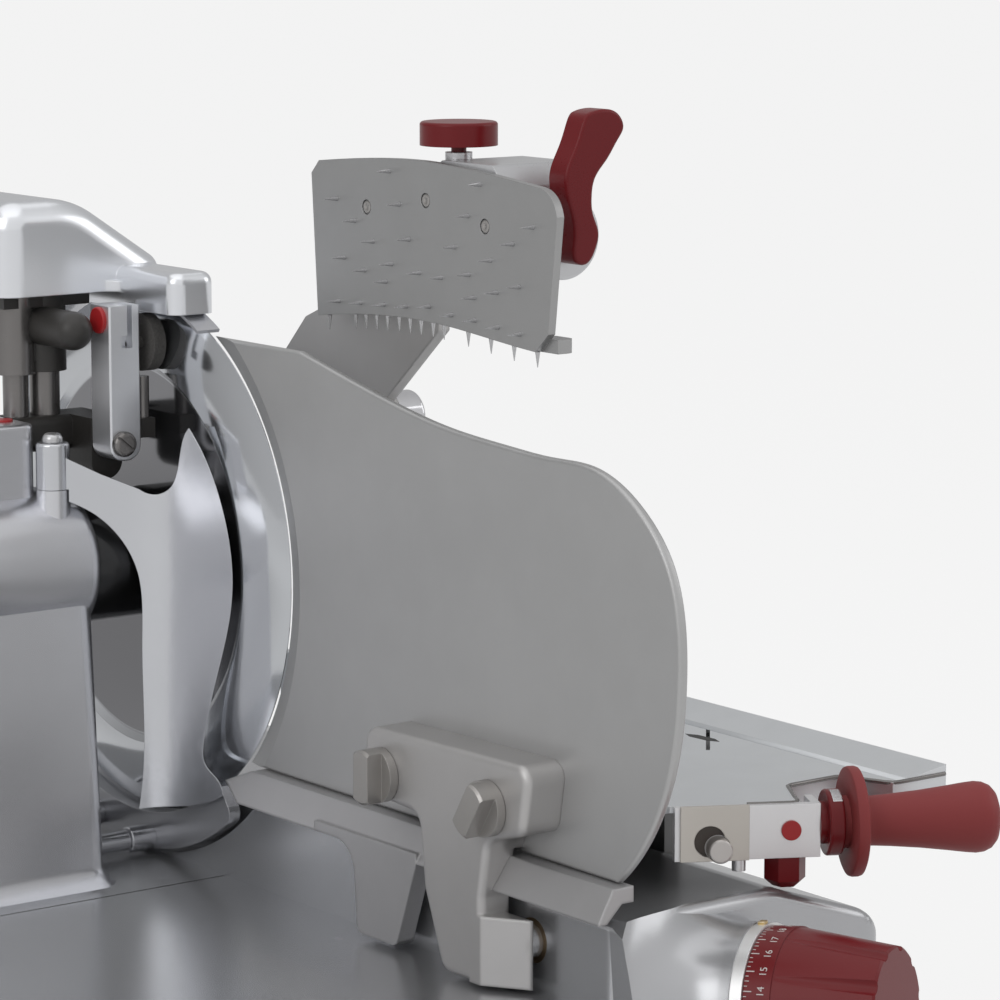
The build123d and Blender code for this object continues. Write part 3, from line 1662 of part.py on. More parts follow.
def cover_shell(inset):
    """Solid of the sharpener cover, or of its inside when drawn in by the wall."""
    left = sharpener_left + inset
    right = sharpener_right - inset
    roof = sharpener_roof - inset
    low = sharpener_skirt if inset == 0 else sharpener_skirt - 1
    section = outline(
        (left, low),
        (left, roof),
        (sharpener_ridge_x, roof),
        (right, sharpener_eave - inset),
        (right, low),
    )
    radius = sharpener_round - inset
    section = soften(section, (left, roof), radius)
    section = soften(section, (right, sharpener_eave - inset), sharpener_eave_round - inset)
    section = soften(section, (sharpener_ridge_x, roof), sharpener_ridge_round - inset)
    front = sharpener_front + inset
    rear = sharpener_rear - inset
    shell = along_y(section, front, rear)
    rims = rim_edges(shell, Axis.Y, front) + rim_edges(shell, Axis.Y, rear)
    shell = fillet([edge for edge in rims if edge.center().Z > low + 1], radius - 2)
    nose_low = nose_bottom if inset == 0 else nose_bottom - 1
    nose_top_z = nose_top - inset
    root = front + 40
    nose = block(nose_left + inset, nose_right - inset, nose_front + inset, root, nose_low, nose_top_z)
    nose = fillet(nose.edges().filter_by(Axis.Z).sort_by(Axis.Y)[:2], nose_round - inset)
    tops = [edge for edge in rim_edges(nose, Axis.Z, nose_top_z) if edge.center().Y < root - 1]
    return shell + fillet(tops, nose_round - inset - 2)


def make_sharpener_cover():
    """Hollow cover of the sharpener with a nose over the blade, hinged at its rear."""
    cover = cover_shell(0) - cover_shell(sharpener_wall)
    root_x = nose_left - nose_root_round
    root_y = sharpener_front - nose_root_round
    web_top = nose_top - nose_round
    web = block(root_x, nose_left + 1, root_y, sharpener_front + 1, sharpener_skirt, web_top)
    cover = cover + web - bar((root_x, root_y, sharpener_skirt), (root_x, root_y, web_top), nose_root_round)
    for side in (-1, 1):
        near = hinge_x + side * (hinge_knuckle / 2 + slip_gap)
        far = near + side * hinge_lug_width
        x0 = min(near, far)
        x1 = max(near, far)
        lug = block(x0, x1, sharpener_rear - sharpener_wall, hinge_y, sharpener_skirt, sharpener_skirt + 7)
        lug = lug + bar((x0, hinge_y, hinge_z), (x1, hinge_y, hinge_z), hinge_lug_radius)
        cover = cover + lug - bar((x0, hinge_y, hinge_z), (x1, hinge_y, hinge_z),
            hinge_pin_radius + running_fit)
    return cover


def make_sharpener_bracket():
    """Dark castings of the sharpener: the carrier on the pedestal, and the elbow under the cover."""
    shelf_top = sharpener_skirt - 1
    shelf = block(sharpener_left + 8, link_right - 7, 8, sharpener_rear - 6, shelf_top - 7, shelf_top)
    elbow = bar((stop_rod_x, sleeve_y, sleeve_foot + 1), (stop_rod_x, sleeve_y, shelf_top), elbow_radius)
    clamp = block(sleeve_x - 6, stop_rod_x, sleeve_y - 9, sleeve_y + 9, sleeve_foot + 8, shelf_top)
    tip = (finger_x, link_front + finger_radius + 2, finger_z)
    finger = bar((finger_x, sleeve_y, finger_z), tip, finger_radius) + Pos(*tip) * Sphere(finger_radius)
    knuckle = block(
        hinge_x - hinge_knuckle / 2, hinge_x + hinge_knuckle / 2, sharpener_rear - 10, hinge_y,
        shelf_top - 7, hinge_z
    )
    barrel = bar(
        (hinge_x - hinge_knuckle / 2, hinge_y, hinge_z),
        (hinge_x + hinge_knuckle / 2, hinge_y, hinge_z), hinge_lug_radius
    )
    upper = shelf + elbow + clamp + finger + knuckle + barrel
    lower = make_carrier()
    for pin in make_sharpener_pins(fixed_fit):
        upper = upper - pin
        lower = lower - pin
    return [upper, lower]


def make_carrier():
    """Arm on the side of the pedestal for the stop rod, the link pivot and the guide rod."""
    low = pedestal_top - carrier_depth
    arm = block(pedestal_right, link_right, carrier_front, carrier_rear, low, pedestal_top)
    arm = fillet(arm.edges().filter_by(Axis.X), 5)
    link_rear = link_front + link_depth + seat_gap
    lug = block(link_left, link_right, link_rear, carrier_front + 5, carrier_boss_z, pedestal_top)
    middle = (link_left + link_right) / 2
    boss = bar((middle, link_rear, carrier_boss_z), (middle, carrier_front + 5, carrier_boss_z),
        (link_right - link_left) / 2)
    step = block(
        link_right - 1,
        carrier_right,
        guide_rod_y - guide_rod_radius - 2,
        carrier_front,
        pedestal_top - carrier_foot_depth,
        pedestal_top,
    )
    gap = block(link_left, link_right + 1.5, guide_rod_y * 2, link_rear, carrier_boss_z, pedestal_top)
    return arm + lug + boss + step - gap


def make_sharpener_pins(gap=0):
    """Sleeve on its post, stop rod, hinge pin, pivot screw of the link bar and guide rod."""
    sleeve = bar((sleeve_x, sleeve_y, pedestal_top), (sleeve_x, sleeve_y, sleeve_foot), post_radius + gap)
    sleeve = sleeve + bar((sleeve_x, sleeve_y, sleeve_foot), (sleeve_x, sleeve_y, sleeve_top + gap),
        sleeve_radius + gap)
    stop = bar((stop_rod_x, sleeve_y, pedestal_top), (stop_rod_x, sleeve_y, sleeve_foot + 8),
        stop_rod_radius + gap)
    reach = hinge_knuckle / 2 + slip_gap + hinge_lug_width
    hinge = bar((hinge_x - reach, hinge_y, hinge_z), (hinge_x + reach, hinge_y, hinge_z),
        hinge_pin_radius + gap)
    guide = bar((guide_rod_x, guide_rod_y, pedestal_top - carrier_foot_depth),
        (guide_rod_x, guide_rod_y, guide_rod_top), guide_rod_radius + gap)
    return [sleeve, stop, hinge, link_pivot(link_pin_radius + gap, link_screw_radius), guide]


def link_pivot(shank, head):
    """Slotted screw on which the link bar turns."""
    face = link_front - seat_gap
    top = face - link_screw_length
    screw = bar((link_pivot_x, face, link_pivot_z), (link_pivot_x, carrier_front, link_pivot_z), shank)
    dome = bar((link_pivot_x, top, link_pivot_z), (link_pivot_x, face, link_pivot_z), head)
    dome = fillet(rim_edges(dome, Axis.Y, top), 3)
    slot = Pos(link_pivot_x, top, link_pivot_z) * Rot(0, 40, 0) * Box(head * 2, 3, 1.6)
    return screw + dome - slot


def make_link_bar():
    """Bar of the sharpener that swings on the slotted screw, with a keyed slot at its top."""
    link = block(link_left, link_right, link_front, link_front + link_depth, link_bottom, link_top)
    link = fillet(link.edges().filter_by(Axis.Y).sort_by(Axis.Z)[:2], (link_right - link_left) / 2.2)
    link = chamfer(link.edges().filter_by(Axis.Z), 1)
    slot_low = link_top - link_slot_length
    slot_right = link_slot_x + link_slot_width / 2
    slot_rear = link_front + link_depth / 3
    slot = block(slot_right - link_slot_width, slot_right, link_front, slot_rear, slot_low, link_top)
    square = block(slot_right - link_square, slot_right, link_front, slot_rear, slot_low - link_square,
        slot_low)
    bore = bar((link_pivot_x, link_front, link_pivot_z), (link_pivot_x, link_front + link_depth,
        link_pivot_z), link_pin_radius + running_fit)
    return link - slot - square - bore - link_button_pin(running_fit) - stone_pin(running_fit)


def link_button_pin(gap):
    """Shank of the red button, or its bore."""
    place = (link_front + link_depth / 2, link_top - link_button_drop)
    return bar((link_left, *place), (link_left + 5, *place), button_radius + gap)


def stone_pin(gap):
    """Spindle of the sharpening stone, or its bore."""
    place = (link_front + link_depth / 2, stone_z)
    return bar((link_right - 6, *place), (stone_x - stone_width / 2, *place), stone_spindle_radius + gap)


def make_link_button():
    """Red push button on the side of the link bar."""
    place = (link_front + link_depth / 2, link_top - link_button_drop)
    button = bar((link_left - button_proud, *place), (link_left + 5 - button_travel, *place), button_radius)
    return fillet(rim_edges(button, Axis.X, link_left - button_proud), 1)


def make_stone():
    """Sharpening stone on its spindle."""
    place = (link_front + link_depth / 2, stone_z)
    stone = bar((stone_x - stone_width / 2, *place), (stone_x + stone_width / 2, *place), stone_radius)
    return stone + stone_pin(0)


# Switch and cable gland

def make_switch_bezel():
    """Bezel of the switch on the front of the base."""
    middle = Pos(switch_x, switch_z)
    face = middle * RectangleRounded(switch_plate_width, switch_plate_height, 8)
    bezel = along_y(face, base_front - switch_plate_thickness, base_front)
    bezel = chamfer(rim_edges(bezel, Axis.Y, base_front - switch_plate_thickness), 1)
    for place in switch_places():
        bezel = bezel - bar(
            (place, base_front - switch_plate_thickness, switch_z), (place, base_front, switch_z),
            switch_button_radius + running_fit
        )
    return bezel


def make_switch_button(x):
    """Round push button of the switch."""
    face = base_front - switch_plate_thickness - switch_button_proud
    button = bar((x, face, switch_z), (x, face + switch_button_proud + switch_button_depth,
        switch_z), switch_button_radius)
    return fillet(rim_edges(button, Axis.Y, face), 1.5)


def make_gland():
    """Cable gland at the rear of the base."""
    nut = Plane(origin=(gland_x, base_rear, gland_z), z_dir=(0, 1, 0)) * RegularPolygon(gland_radius, 6)
    gland = extrude(nut, 7)
    gland = gland + bar((gland_x, base_rear + 7, gland_z),
        (gland_x, base_rear + gland_length, gland_z), gland_radius - 4)
    gland = gland + bar((gland_x, base_rear - base_wall, gland_z), (gland_x, base_rear, gland_z),
        gland_radius - 3 - fixed_fit)
    return gland - bar(
        (gland_x, base_rear - base_wall, gland_z), (gland_x, base_rear + gland_length, gland_z), gland_bore
    )


def make_pedestal_marker():
    """Red marker disc on top of the pedestal."""
    place = (marker_x, marker_y)
    return bar((*place, pedestal_top), (*place, pedestal_top + marker_thickness), marker_radius)


start_x, stop_x = switch_places()
blade_pulley = make_pulley(blade_pulley_radius, spindle_radius + fixed_fit, 0, 0)
motor_pulley = make_pulley(motor_pulley_radius, motor_shaft_radius + fixed_fit, motor_offset, -motor_drop)
pieces = {
    "base_casting": make_base(),
    "bottom_plate": make_bottom_plate(),
    "feet": make_feet(),
    "fasteners": make_foot_bolts() + make_cover_screws(),
    "head_casting": make_head(),
    "head_rear_cover": make_rear_cover(),
    "hub_collar": make_hub_collar(),
    "bearings": make_bearings(),
    "drive_belt": make_belt(),
    "motor": make_motor(),
    "motor_rotor": [make_motor_shaft(), motor_pulley],
    "blade": make_blade(),
    "blade_screws": make_blade_screws(),
    "spindle": [make_spindle(), blade_pulley],
    "blade_guard": make_guard(),
    "guard_stays": make_guard_stays(),
    "deflector": make_deflector(),
    "deflector_pin": make_deflector_pin(),
    "gauge_plate": make_gauge_plate(),
    "gauge_arm": make_gauge_arm(),
    "gauge_rail": make_gauge_rail(),
    "gauge_slide": make_gauge_slide(),
    "shaft_bushes": make_shaft_bushes(),
    "clamp_knob_rear": make_clamp_knob(clamp_knob_rear_y, 0),
    "clamp_knob_front": make_clamp_knob(clamp_knob_front_y, clamp_knob_turn),
    "dial_ring": make_dial_ring(),
    "dial_knob": make_dial_knob(),
    "dial_shaft": make_dial_shaft(),
    "carriage_tray": make_tray(),
    "carriage_frame": make_carriage_frame(),
    "carriage_roller": make_roller(),
    "slide_block": make_slide_block(),
    "slide_bushes": make_slide_bushes(),
    "carriage_guides": make_guides(),
    "handle_bracket": make_bracket(),
    "bracket_plate": make_bracket_plate(),
    "bracket_pin": make_bracket_pin(),
    "bracket_marker": make_bracket_marker(),
    "handle_collar": make_handle_collar(),
    "handle_grip": make_handle_grip(),
    "release_knob": make_release_knob(),
    "press_rod": make_press_rod(),
    "press_post": make_press_post(),
    "press_arm": make_press_arm(),
    "press_plate": make_press_plate(),
    "press_spikes": make_press_spikes(),
    "press_housing": make_press_housing(),
    "press_knob": make_press_knob(),
    "press_lever": make_press_lever(),
    "sharpener_bracket": make_sharpener_bracket(),
    "sharpener_pins": make_sharpener_pins(),
    "sharpener_cover": make_sharpener_cover(),
    "link_bar": make_link_bar(),
    "link_button": make_link_button(),
    "sharpening_stone": make_stone(),
    "pedestal_marker": make_pedestal_marker(),
    "switch_bezel": make_switch_bezel(),
    "start_button": make_switch_button(start_x),
    "stop_button": make_switch_button(stop_x),
    "cable_gland": make_gland(),
}
place = Pos(blade_x, blade_y, blade_z)
os.makedirs("parts", exist_ok=True)
for name, shape in pieces.items():
    solids = shape if isinstance(shape, list) else [shape]
    moved = [place * solid for solid in solids]
    export_step(moved[0] if len(moved) == 1 else Compound(children=moved), f"parts/{name}.step")
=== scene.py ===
"""Looks of the food slicer: finishes, small fittings, markings, studio and camera."""

from __future__ import annotations

import logging
import math
from dataclasses import dataclass
from enum import Enum
from typing import Any, Sequence

import bmesh
import bpy
from mathutils import Matrix, Vector

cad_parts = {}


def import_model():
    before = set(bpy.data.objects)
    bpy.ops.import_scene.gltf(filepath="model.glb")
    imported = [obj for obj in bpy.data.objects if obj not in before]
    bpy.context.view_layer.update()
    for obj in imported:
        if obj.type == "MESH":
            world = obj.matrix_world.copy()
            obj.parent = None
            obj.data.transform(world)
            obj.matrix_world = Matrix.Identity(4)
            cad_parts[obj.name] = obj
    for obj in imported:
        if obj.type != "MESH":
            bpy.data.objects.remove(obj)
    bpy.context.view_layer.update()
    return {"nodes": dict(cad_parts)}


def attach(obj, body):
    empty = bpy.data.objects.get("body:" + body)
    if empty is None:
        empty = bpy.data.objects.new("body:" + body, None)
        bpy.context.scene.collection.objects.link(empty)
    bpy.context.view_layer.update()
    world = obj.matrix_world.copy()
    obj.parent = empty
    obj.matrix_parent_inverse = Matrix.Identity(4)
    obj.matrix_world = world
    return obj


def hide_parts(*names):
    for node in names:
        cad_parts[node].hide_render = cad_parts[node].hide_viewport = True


LOG = logging.getLogger("slicer")
Colour = tuple[float, float, float]
Place = tuple[float, float, float]
Pair = tuple[float, float]
Noise = tuple[float, float, float]
BLADE_CENTRE = Vector((0.026, 0.1928, 0.300))
MM_PER_METRE = 1000
# Millimetres that thin marks are let in, that thin strips rise, and that their edges are rounded.
SINK = 0.02
THIN = 0.12
THIN_SOFT = 0.04
UP = Vector((0, 0, 1))
DOWN = Vector((0, 0, -1))
LEFT = Vector((-1, 0, 0))
RIGHT = Vector((1, 0, 0))
FRONT = Vector((0, -1, 0))
REAR = Vector((0, 1, 0))


def spot(x: float, y: float, z: float) -> Vector:
    """Turn a point measured from the blade centre in millimetres into the frame.

    Args:
        x: Distance to the food side.
        y: Distance to the rear.
        z: Distance up.

    Returns:
        The point in metres in the frame of the part.
    """
    return BLADE_CENTRE + Vector((x, y, z)) / MM_PER_METRE


class Grain(Enum):
    """How a metal surface was worked last."""

    CAST = "cast"
    SATIN = "satin"
    BRUSHED = "brushed"
    TURNED = "turned"


# Spots per metre, octaves and weight of the finer octaves.
GRAIN_NOISE: dict[Grain, Noise] = {
    Grain.CAST: (900, 4, 0.65),
    Grain.SATIN: (1600, 2, 0.5),
    Grain.BRUSHED: (1800, 3, 0.6),
    Grain.TURNED: (1500, 3, 0.6),
}
BRUSH_STRETCH = 0.02


@dataclass(frozen=True)
class Flow:
    """A shader value, with its graph and socket, that takes part in Python arithmetic."""

    graph: Graph
    socket: bpy.types.NodeSocket

    def _math(self, operation: str, *values: Flow | float) -> Flow:
        """Add one Math node.

        Args:
            operation: The node's operation.
            values: The values of its sockets in order.

        Returns:
            The node's value.
        """
        return self.graph.flow("ShaderNodeMath", {"operation": operation}, dict(enumerate(values)))

    def __add__(self, other: Flow | float) -> Flow:
        """Add two values."""
        return self._math("ADD", self, other)

    __radd__ = __add__

    def __sub__(self, other: Flow | float) -> Flow:
        """Take a value away."""
        return self._math("SUBTRACT", self, other)

    def __rsub__(self, other: Flow | float) -> Flow:
        """Take this value from another."""
        return self._math("SUBTRACT", other, self)

    def __mul__(self, other: Flow | float) -> Flow:
        """Multiply two values."""
        return self._math("MULTIPLY", self, other)

    def __pow__(self, other: Flow | float) -> Flow:
        """Raise to a power."""
        return self._math("POWER", self, other)

    def band(self, low: float, high: float) -> Flow:
        """Map a stretch of the value smoothly to zero to one.

        Args:
            low: Value that becomes zero.
            high: Value that becomes one.

        Returns:
            The mapped value.
        """
        inputs = {"Value": self, "From Min": low, "From Max": high}
        return self.graph.flow("ShaderNodeMapRange", {"interpolation_type": "SMOOTHSTEP"}, inputs)


class Graph:
    """A node tree that is filled from Python."""

    def __init__(self, tree: bpy.types.NodeTree) -> None:
        """Empty the tree.

        Args:
            tree: The node tree of a material or of the world.
        """
        self.tree = tree
        tree.nodes.clear()

    def node(self, kind: str, settings: dict[str, Any], inputs: dict[Any, Any]) -> bpy.types.Node:
        """Add one node.

        Args:
            kind: The node's type.
            settings: Properties, set first; "stops" holds a ramp's places and colours.
            inputs: Values or links of its sockets.

        Returns:
            The new node.
        """
        made = self.tree.nodes.new(kind)
        for key, value in settings.items():
            if key == "stops":
                ramp = made.color_ramp
                while len(ramp.elements) < len(value):
                    ramp.elements.new(0.5)
                for element, (place, shade) in zip(ramp.elements, value):
                    element.position = place
                    element.color = (*shade, 1.0)
            else:
                setattr(made, key, value)
        for key, value in inputs.items():
            target = made.inputs[key]
            if isinstance(value, Flow):
                self.tree.links.new(value.socket, target)
            elif isinstance(value, tuple) and len(value) == 3 and target.type == "RGBA":
                target.default_value = (*value, 1.0)
            else:
                target.default_value = value
        return made

    def flow(
        self, kind: str, settings: dict[str, Any], inputs: dict[Any, Any], output: int | str = 0
    ) -> Flow:
        """Add one node and take one of its outputs.

        Args:
            kind: The node's type.
            settings: Properties of the node.
            inputs: Values or links of its sockets.
            output: Name or number of the output.

        Returns:
            The output as a flow.
        """
        return Flow(self, self.node(kind, settings, inputs).outputs[output])

    def place(self, centre: Place = (0.0, 0.0, 0.0)) -> Flow:
        """Object coordinates about a centre.

        Args:
            centre: Point that becomes the origin.

        Returns:
            The coordinates.
        """
        own = self.flow("ShaderNodeTexCoord", {}, {}, "Object")
        return self.flow("ShaderNodeVectorMath", {"operation": "SUBTRACT"}, {0: own, 1: centre}, "Vector")

    def noise(self, place: Flow, scale: float, detail: float, rough: float) -> Flow:
        """Soft noise over the coordinates.

        Args:
            place: The coordinates.
            scale: Spots per metre.
            detail: Octaves of finer noise.
            rough: Weight of the finer octaves.

        Returns:
            A value about one half.
        """
        inputs = {"Vector": place, "Scale": scale, "Detail": detail, "Roughness": rough}
        return self.flow("ShaderNodeTexNoise", {}, inputs, "Fac")

    def split(self, place: Flow) -> tuple[Flow, Flow, Flow]:
        """Take coordinates apart.

        Args:
            place: The coordinates.

        Returns:
            X, Y and Z.
        """
        made = self.node("ShaderNodeSeparateXYZ", {}, {0: place})
        return tuple(Flow(self, output) for output in made.outputs)

    def join(self, x: Flow | float, y: Flow | float, z: Flow | float) -> Flow:
        """Put coordinates together.

        Args:
            x: First part.
            y: Second part.
            z: Third part.

        Returns:
            The coordinates.
        """
        return self.flow("ShaderNodeCombineXYZ", {}, {0: x, 1: y, 2: z})

    def blend(self, factor: Flow | float, first: Colour | Flow, second: Colour | Flow) -> Flow:
        """Mix two colours.

        Args:
            factor: Share of the second colour.
            first: Colour at zero.
            second: Colour at one.

        Returns:
            The mixed colour.
        """
        return self.flow("ShaderNodeMix", {"data_type": "RGBA"}, {"Factor": factor, 6: first, 7: second}, 2)

    def bump(self, height: Flow, distance: float, strength: float, under: Flow | None = None) -> Flow:
        """Raise the surface in the shading.

        Args:
            height: Height from zero to one.
            distance: Metres that a height of one stands for.
            strength: How much of it shows.
            under: Normal that it starts from.

        Returns:
            The new normal.
        """
        inputs: dict[Any, Any] = {"Height": height, "Distance": distance, "Strength": strength}
        if under is not None:
            inputs["Normal"] = under
        return self.flow("ShaderNodeBump", {}, inputs)

    def soft_edges(self, radius: float) -> Flow:
        """Normal that rounds sharp edges.

        Args:
            radius: Radius of the rounding in metres.

        Returns:
            The normal.
        """
        return self.flow("ShaderNodeBevel", {"samples": 4}, {"Radius": radius})

    def surface(self, inputs: dict[str, Any]) -> None:
        """End the graph in one Principled surface.

        Args:
            inputs: Values or links of the shader's sockets.
        """
        shader = self.flow("ShaderNodeBsdfPrincipled", {}, inputs)
        self.node("ShaderNodeOutputMaterial", {}, {"Surface": shader})


def fresh_material(name: str) -> tuple[bpy.types.Material, Graph]:
    """Make a material with an empty graph.

    Args:
        name: Name of the material.

    Returns:
        The material and its graph.
    """
    made = bpy.data.materials.new(name)
    made.use_nodes = True
    return made, Graph(made.node_tree)


@dataclass(frozen=True)
class Metal:
    """A worked metal surface."""

    name: str
    colour: Colour
    roughness: float
    grain: Grain
    spread: float = 0.06
    relief: float = 0.00002
    edge: float = 0.0006
    wear: float = 0.08
    mirror: float = 0.75
    clouds: Noise = (7, 3, 0.5)
    smears: Noise = (38, 4, 0.6)
    cloud_share: float = 0.6
    worn: Pair = (0.35, 0.65)
    bump: float = 0.35

    def _pattern(self, graph: Graph) -> Flow:
        """Fine marks of the last working step.

        Args:
            graph: The graph of the material.

        Returns:
            Height from zero to one.
        """
        place = graph.place()
        if self.grain is Grain.BRUSHED:
            x, y, z = graph.split(place)
            place = graph.join(x * BRUSH_STRETCH, y, z)
        elif self.grain is Grain.TURNED:
            x, y, z = graph.split(place)
            place = graph.join((x * x + y * y) ** 0.5, z, 0.0)
        return graph.noise(place, *GRAIN_NOISE[self.grain])

    def material(self) -> bpy.types.Material:
        """Build the material.

        Returns:
            The new material.
        """
        made, graph = fresh_material(self.name)
        place = graph.place()
        cloud = graph.noise(place, *self.clouds)
        smear = graph.noise(place, *self.smears)
        fine = self._pattern(graph)
        dark = tuple(part * (1 - self.wear) for part in self.colour)
        mottle = cloud * self.cloud_share + smear * (1 - self.cloud_share)
        tone = graph.blend(mottle.band(*self.worn), dark, self.colour)
        gloss = self.roughness + (smear - 0.5) * self.spread + (fine - 0.5) * self.spread
        rounded = graph.soft_edges(self.edge) if self.edge else None
        normal = graph.bump(fine, self.relief, self.bump, rounded)
        graph.surface({"Base Color": tone, "Metallic": self.mirror, "Roughness": gloss, "Normal": normal})
        return made


@dataclass(frozen=True)
class Mirror:
    """Ground and polished blade steel, toned by the distance from its axis along X."""

    name: str
    centre: Place
    rings: tuple[tuple[float, Colour], ...]
    roughness: float = 0.11
    mirror: float = 0.95
    mark_spread: float = 0.05
    haze: Noise = (26, 3, 0.5)
    haze_spread: float = 0.04
    relief: float = 0.000002
    bump: float = 0.3
    edge: float = 0.0003

    def material(self) -> bpy.types.Material:
        """Build the material.

        Returns:
            The new material.
        """
        made, graph = fresh_material(self.name)
        x, y, z = graph.split(graph.place(self.centre))
        radius = (y * y + z * z) ** 0.5
        reach = self.rings[-1][0]
        stops = [(place / reach, tone) for place, tone in self.rings]
        tone = graph.flow("ShaderNodeValToRGB", {"stops": stops}, {"Fac": radius * (1 / reach)})
        marks = graph.noise(graph.join(radius, x, 0.0), *GRAIN_NOISE[Grain.TURNED])
        haze = graph.noise(graph.place(self.centre), *self.haze)
        gloss = self.roughness + (marks - 0.5) * self.mark_spread + (haze - 0.5) * self.haze_spread
        normal = graph.bump(marks, self.relief, self.bump, graph.soft_edges(self.edge))
        graph.surface({"Base Color": tone, "Metallic": self.mirror, "Roughness": gloss, "Normal": normal})
        return made


@dataclass(frozen=True)
class Moulding:
    """A moulded or painted surface with a soft skin."""

    name: str
    colour: Colour
    roughness: float
    relief: float = 0.00003
    scale: float = 700.0
    coat: float = 0.0
    shine: float = 0.5
    dust: Colour = (0.35, 0.33, 0.31)
    dust_share: float = 0.05
    edge: float = 0.0006
    clouds: Noise = (14, 3, 0.5)
    dusty: Pair = (0.45, 0.8)
    cloud_spread: float = 0.12
    pore_spread: float = 0.1
    bump: float = 0.5
    coat_roughness: float = 0.15

    def material(self) -> bpy.types.Material:
        """Build the material.

        Returns:
            The new material.
        """
        made, graph = fresh_material(self.name)
        place = graph.place()
        cloud = graph.noise(place, *self.clouds)
        pores = graph.noise(place, self.scale, 3, 0.6)
        tone = graph.blend(cloud.band(*self.dusty) * self.dust_share, self.colour, self.dust)
        gloss = self.roughness + (cloud - 0.5) * self.cloud_spread + (pores - 0.5) * self.pore_spread
        normal = graph.bump(pores, self.relief, self.bump, graph.soft_edges(self.edge))
        skin = {"Base Color": tone, "Roughness": gloss, "Normal": normal, "Specular IOR Level": self.shine}
        graph.surface({**skin, "Coat Weight": self.coat, "Coat Roughness": self.coat_roughness})
        return made


@dataclass(frozen=True)
class Grit:
    """A bonded grinding stone."""

    name: str
    colour: Colour
    speck: Colour
    grains: Noise = (2600, 3, 0.7)
    specks: Pair = (0.42, 0.6)
    roughness: float = 0.9
    relief: float = 0.0003
    bump: float = 0.8

    def material(self) -> bpy.types.Material:
        """Build the material.

        Returns:
            The new material.
        """
        made, graph = fresh_material(self.name)
        grains = graph.noise(graph.place(), *self.grains)
        tone = graph.blend(grains.band(*self.specks), self.colour, self.speck)
        normal = graph.bump(grains, self.relief, self.bump)
        graph.surface({"Base Color": tone, "Roughness": self.roughness, "Normal": normal})
        return made


Finish = Metal | Mirror | Moulding | Grit
CASTING = {"spread": 0.01, "relief": 0.000001, "edge": 0.0, "wear": 0.03}
POLISH = {"spread": 0.02, "relief": 0.000002}
SATIN = {"spread": 0.05, "wear": 0.05}
BASE_CAST = Metal("base_cast_aluminium", (0.50, 0.505, 0.52), 0.27, Grain.SATIN, **CASTING, mirror=0.8)
HEAD_CAST = Metal("head_cast_aluminium", (0.69, 0.695, 0.725), 0.27, Grain.SATIN, **CASTING, mirror=0.88)
PRESS_CAST = Metal("press_cast_aluminium", (0.64, 0.645, 0.66), 0.28, Grain.SATIN, **POLISH, wear=0.04)
# Painted shade: the carriage frame and slide block are dark grey because they sit in the shade under the
# tray.
FRAME_PAINTED_SHADE = Metal("frame_painted_shade_aluminium", (0.20, 0.20, 0.20), 0.45, Grain.CAST)
GAUGE_SATIN = Metal("gauge_satin", (0.505, 0.505, 0.505), 0.42, Grain.SATIN, **SATIN)
ARM_SATIN = Metal("arm_satin", (0.525, 0.515, 0.51), 0.40, Grain.SATIN, **SATIN, edge=0.0025)
RAIL_SATIN = Metal("rail_satin", (0.475, 0.47, 0.475), 0.38, Grain.SATIN, **SATIN, edge=0.002)
PRESS_SATIN = Metal("press_satin", (0.415, 0.415, 0.415), 0.40, Grain.SATIN, **SATIN)
TRAY_SATIN = Metal("tray_satin", (0.745, 0.765, 0.785), 0.38, Grain.BRUSHED, **SATIN)
# Painted shade: darker than the tray, for the sloping rim along its far edge.
BAND_PAINTED_SHADE = Metal("rim_band_painted_shade", (0.655, 0.675, 0.695), 0.40, Grain.BRUSHED, **SATIN)
BRACKET_BRIGHT = Metal("bracket_bright", (0.82, 0.815, 0.825), 0.34, Grain.SATIN, spread=0.04, wear=0.05)
LINK_SATIN = Metal("link_satin", (0.74, 0.75, 0.78), 0.30, Grain.BRUSHED, spread=0.04, wear=0.05)
COVER_POLISH = Metal(
    "cover_polish", (0.84, 0.855, 0.89), 0.24, Grain.SATIN, **POLISH, edge=0.001, wear=0.03, mirror=0.92
)
DEFLECTOR_POLISH = Metal(
    "deflector_polish", (0.64, 0.65, 0.68), 0.20, Grain.SATIN, **POLISH, wear=0.03, mirror=0.9
)
GUARD_POLISH = Metal("guard_polish", (0.52, 0.525, 0.55), 0.24, Grain.SATIN, **POLISH, wear=0.03)
RING_POLISH = Metal("ring_polish", (0.80, 0.80, 0.80), 0.35, Grain.SATIN, **POLISH, wear=0.02)
# Painted shade: the flat web of the blade is darker than its rim, for the dark reflection that it shows.
BLADE_WEB_PAINTED_SHADE: Colour = (0.25, 0.25, 0.262)
BLADE_STEEL = Mirror(
    "blade_steel",
    tuple(BLADE_CENTRE),
    (
        (0.0, BLADE_WEB_PAINTED_SHADE),
        (0.118, BLADE_WEB_PAINTED_SHADE),
        (0.1195, (0.62, 0.635, 0.66)),
        (0.165, (0.58, 0.595, 0.62)),
    ),
)
STEEL = Metal("turned_steel", (0.60, 0.60, 0.61), 0.24, Grain.SATIN, spread=0.05)
KNOB_STEEL = Metal("knob_steel", (0.42, 0.405, 0.39), 0.30, Grain.SATIN, spread=0.04)
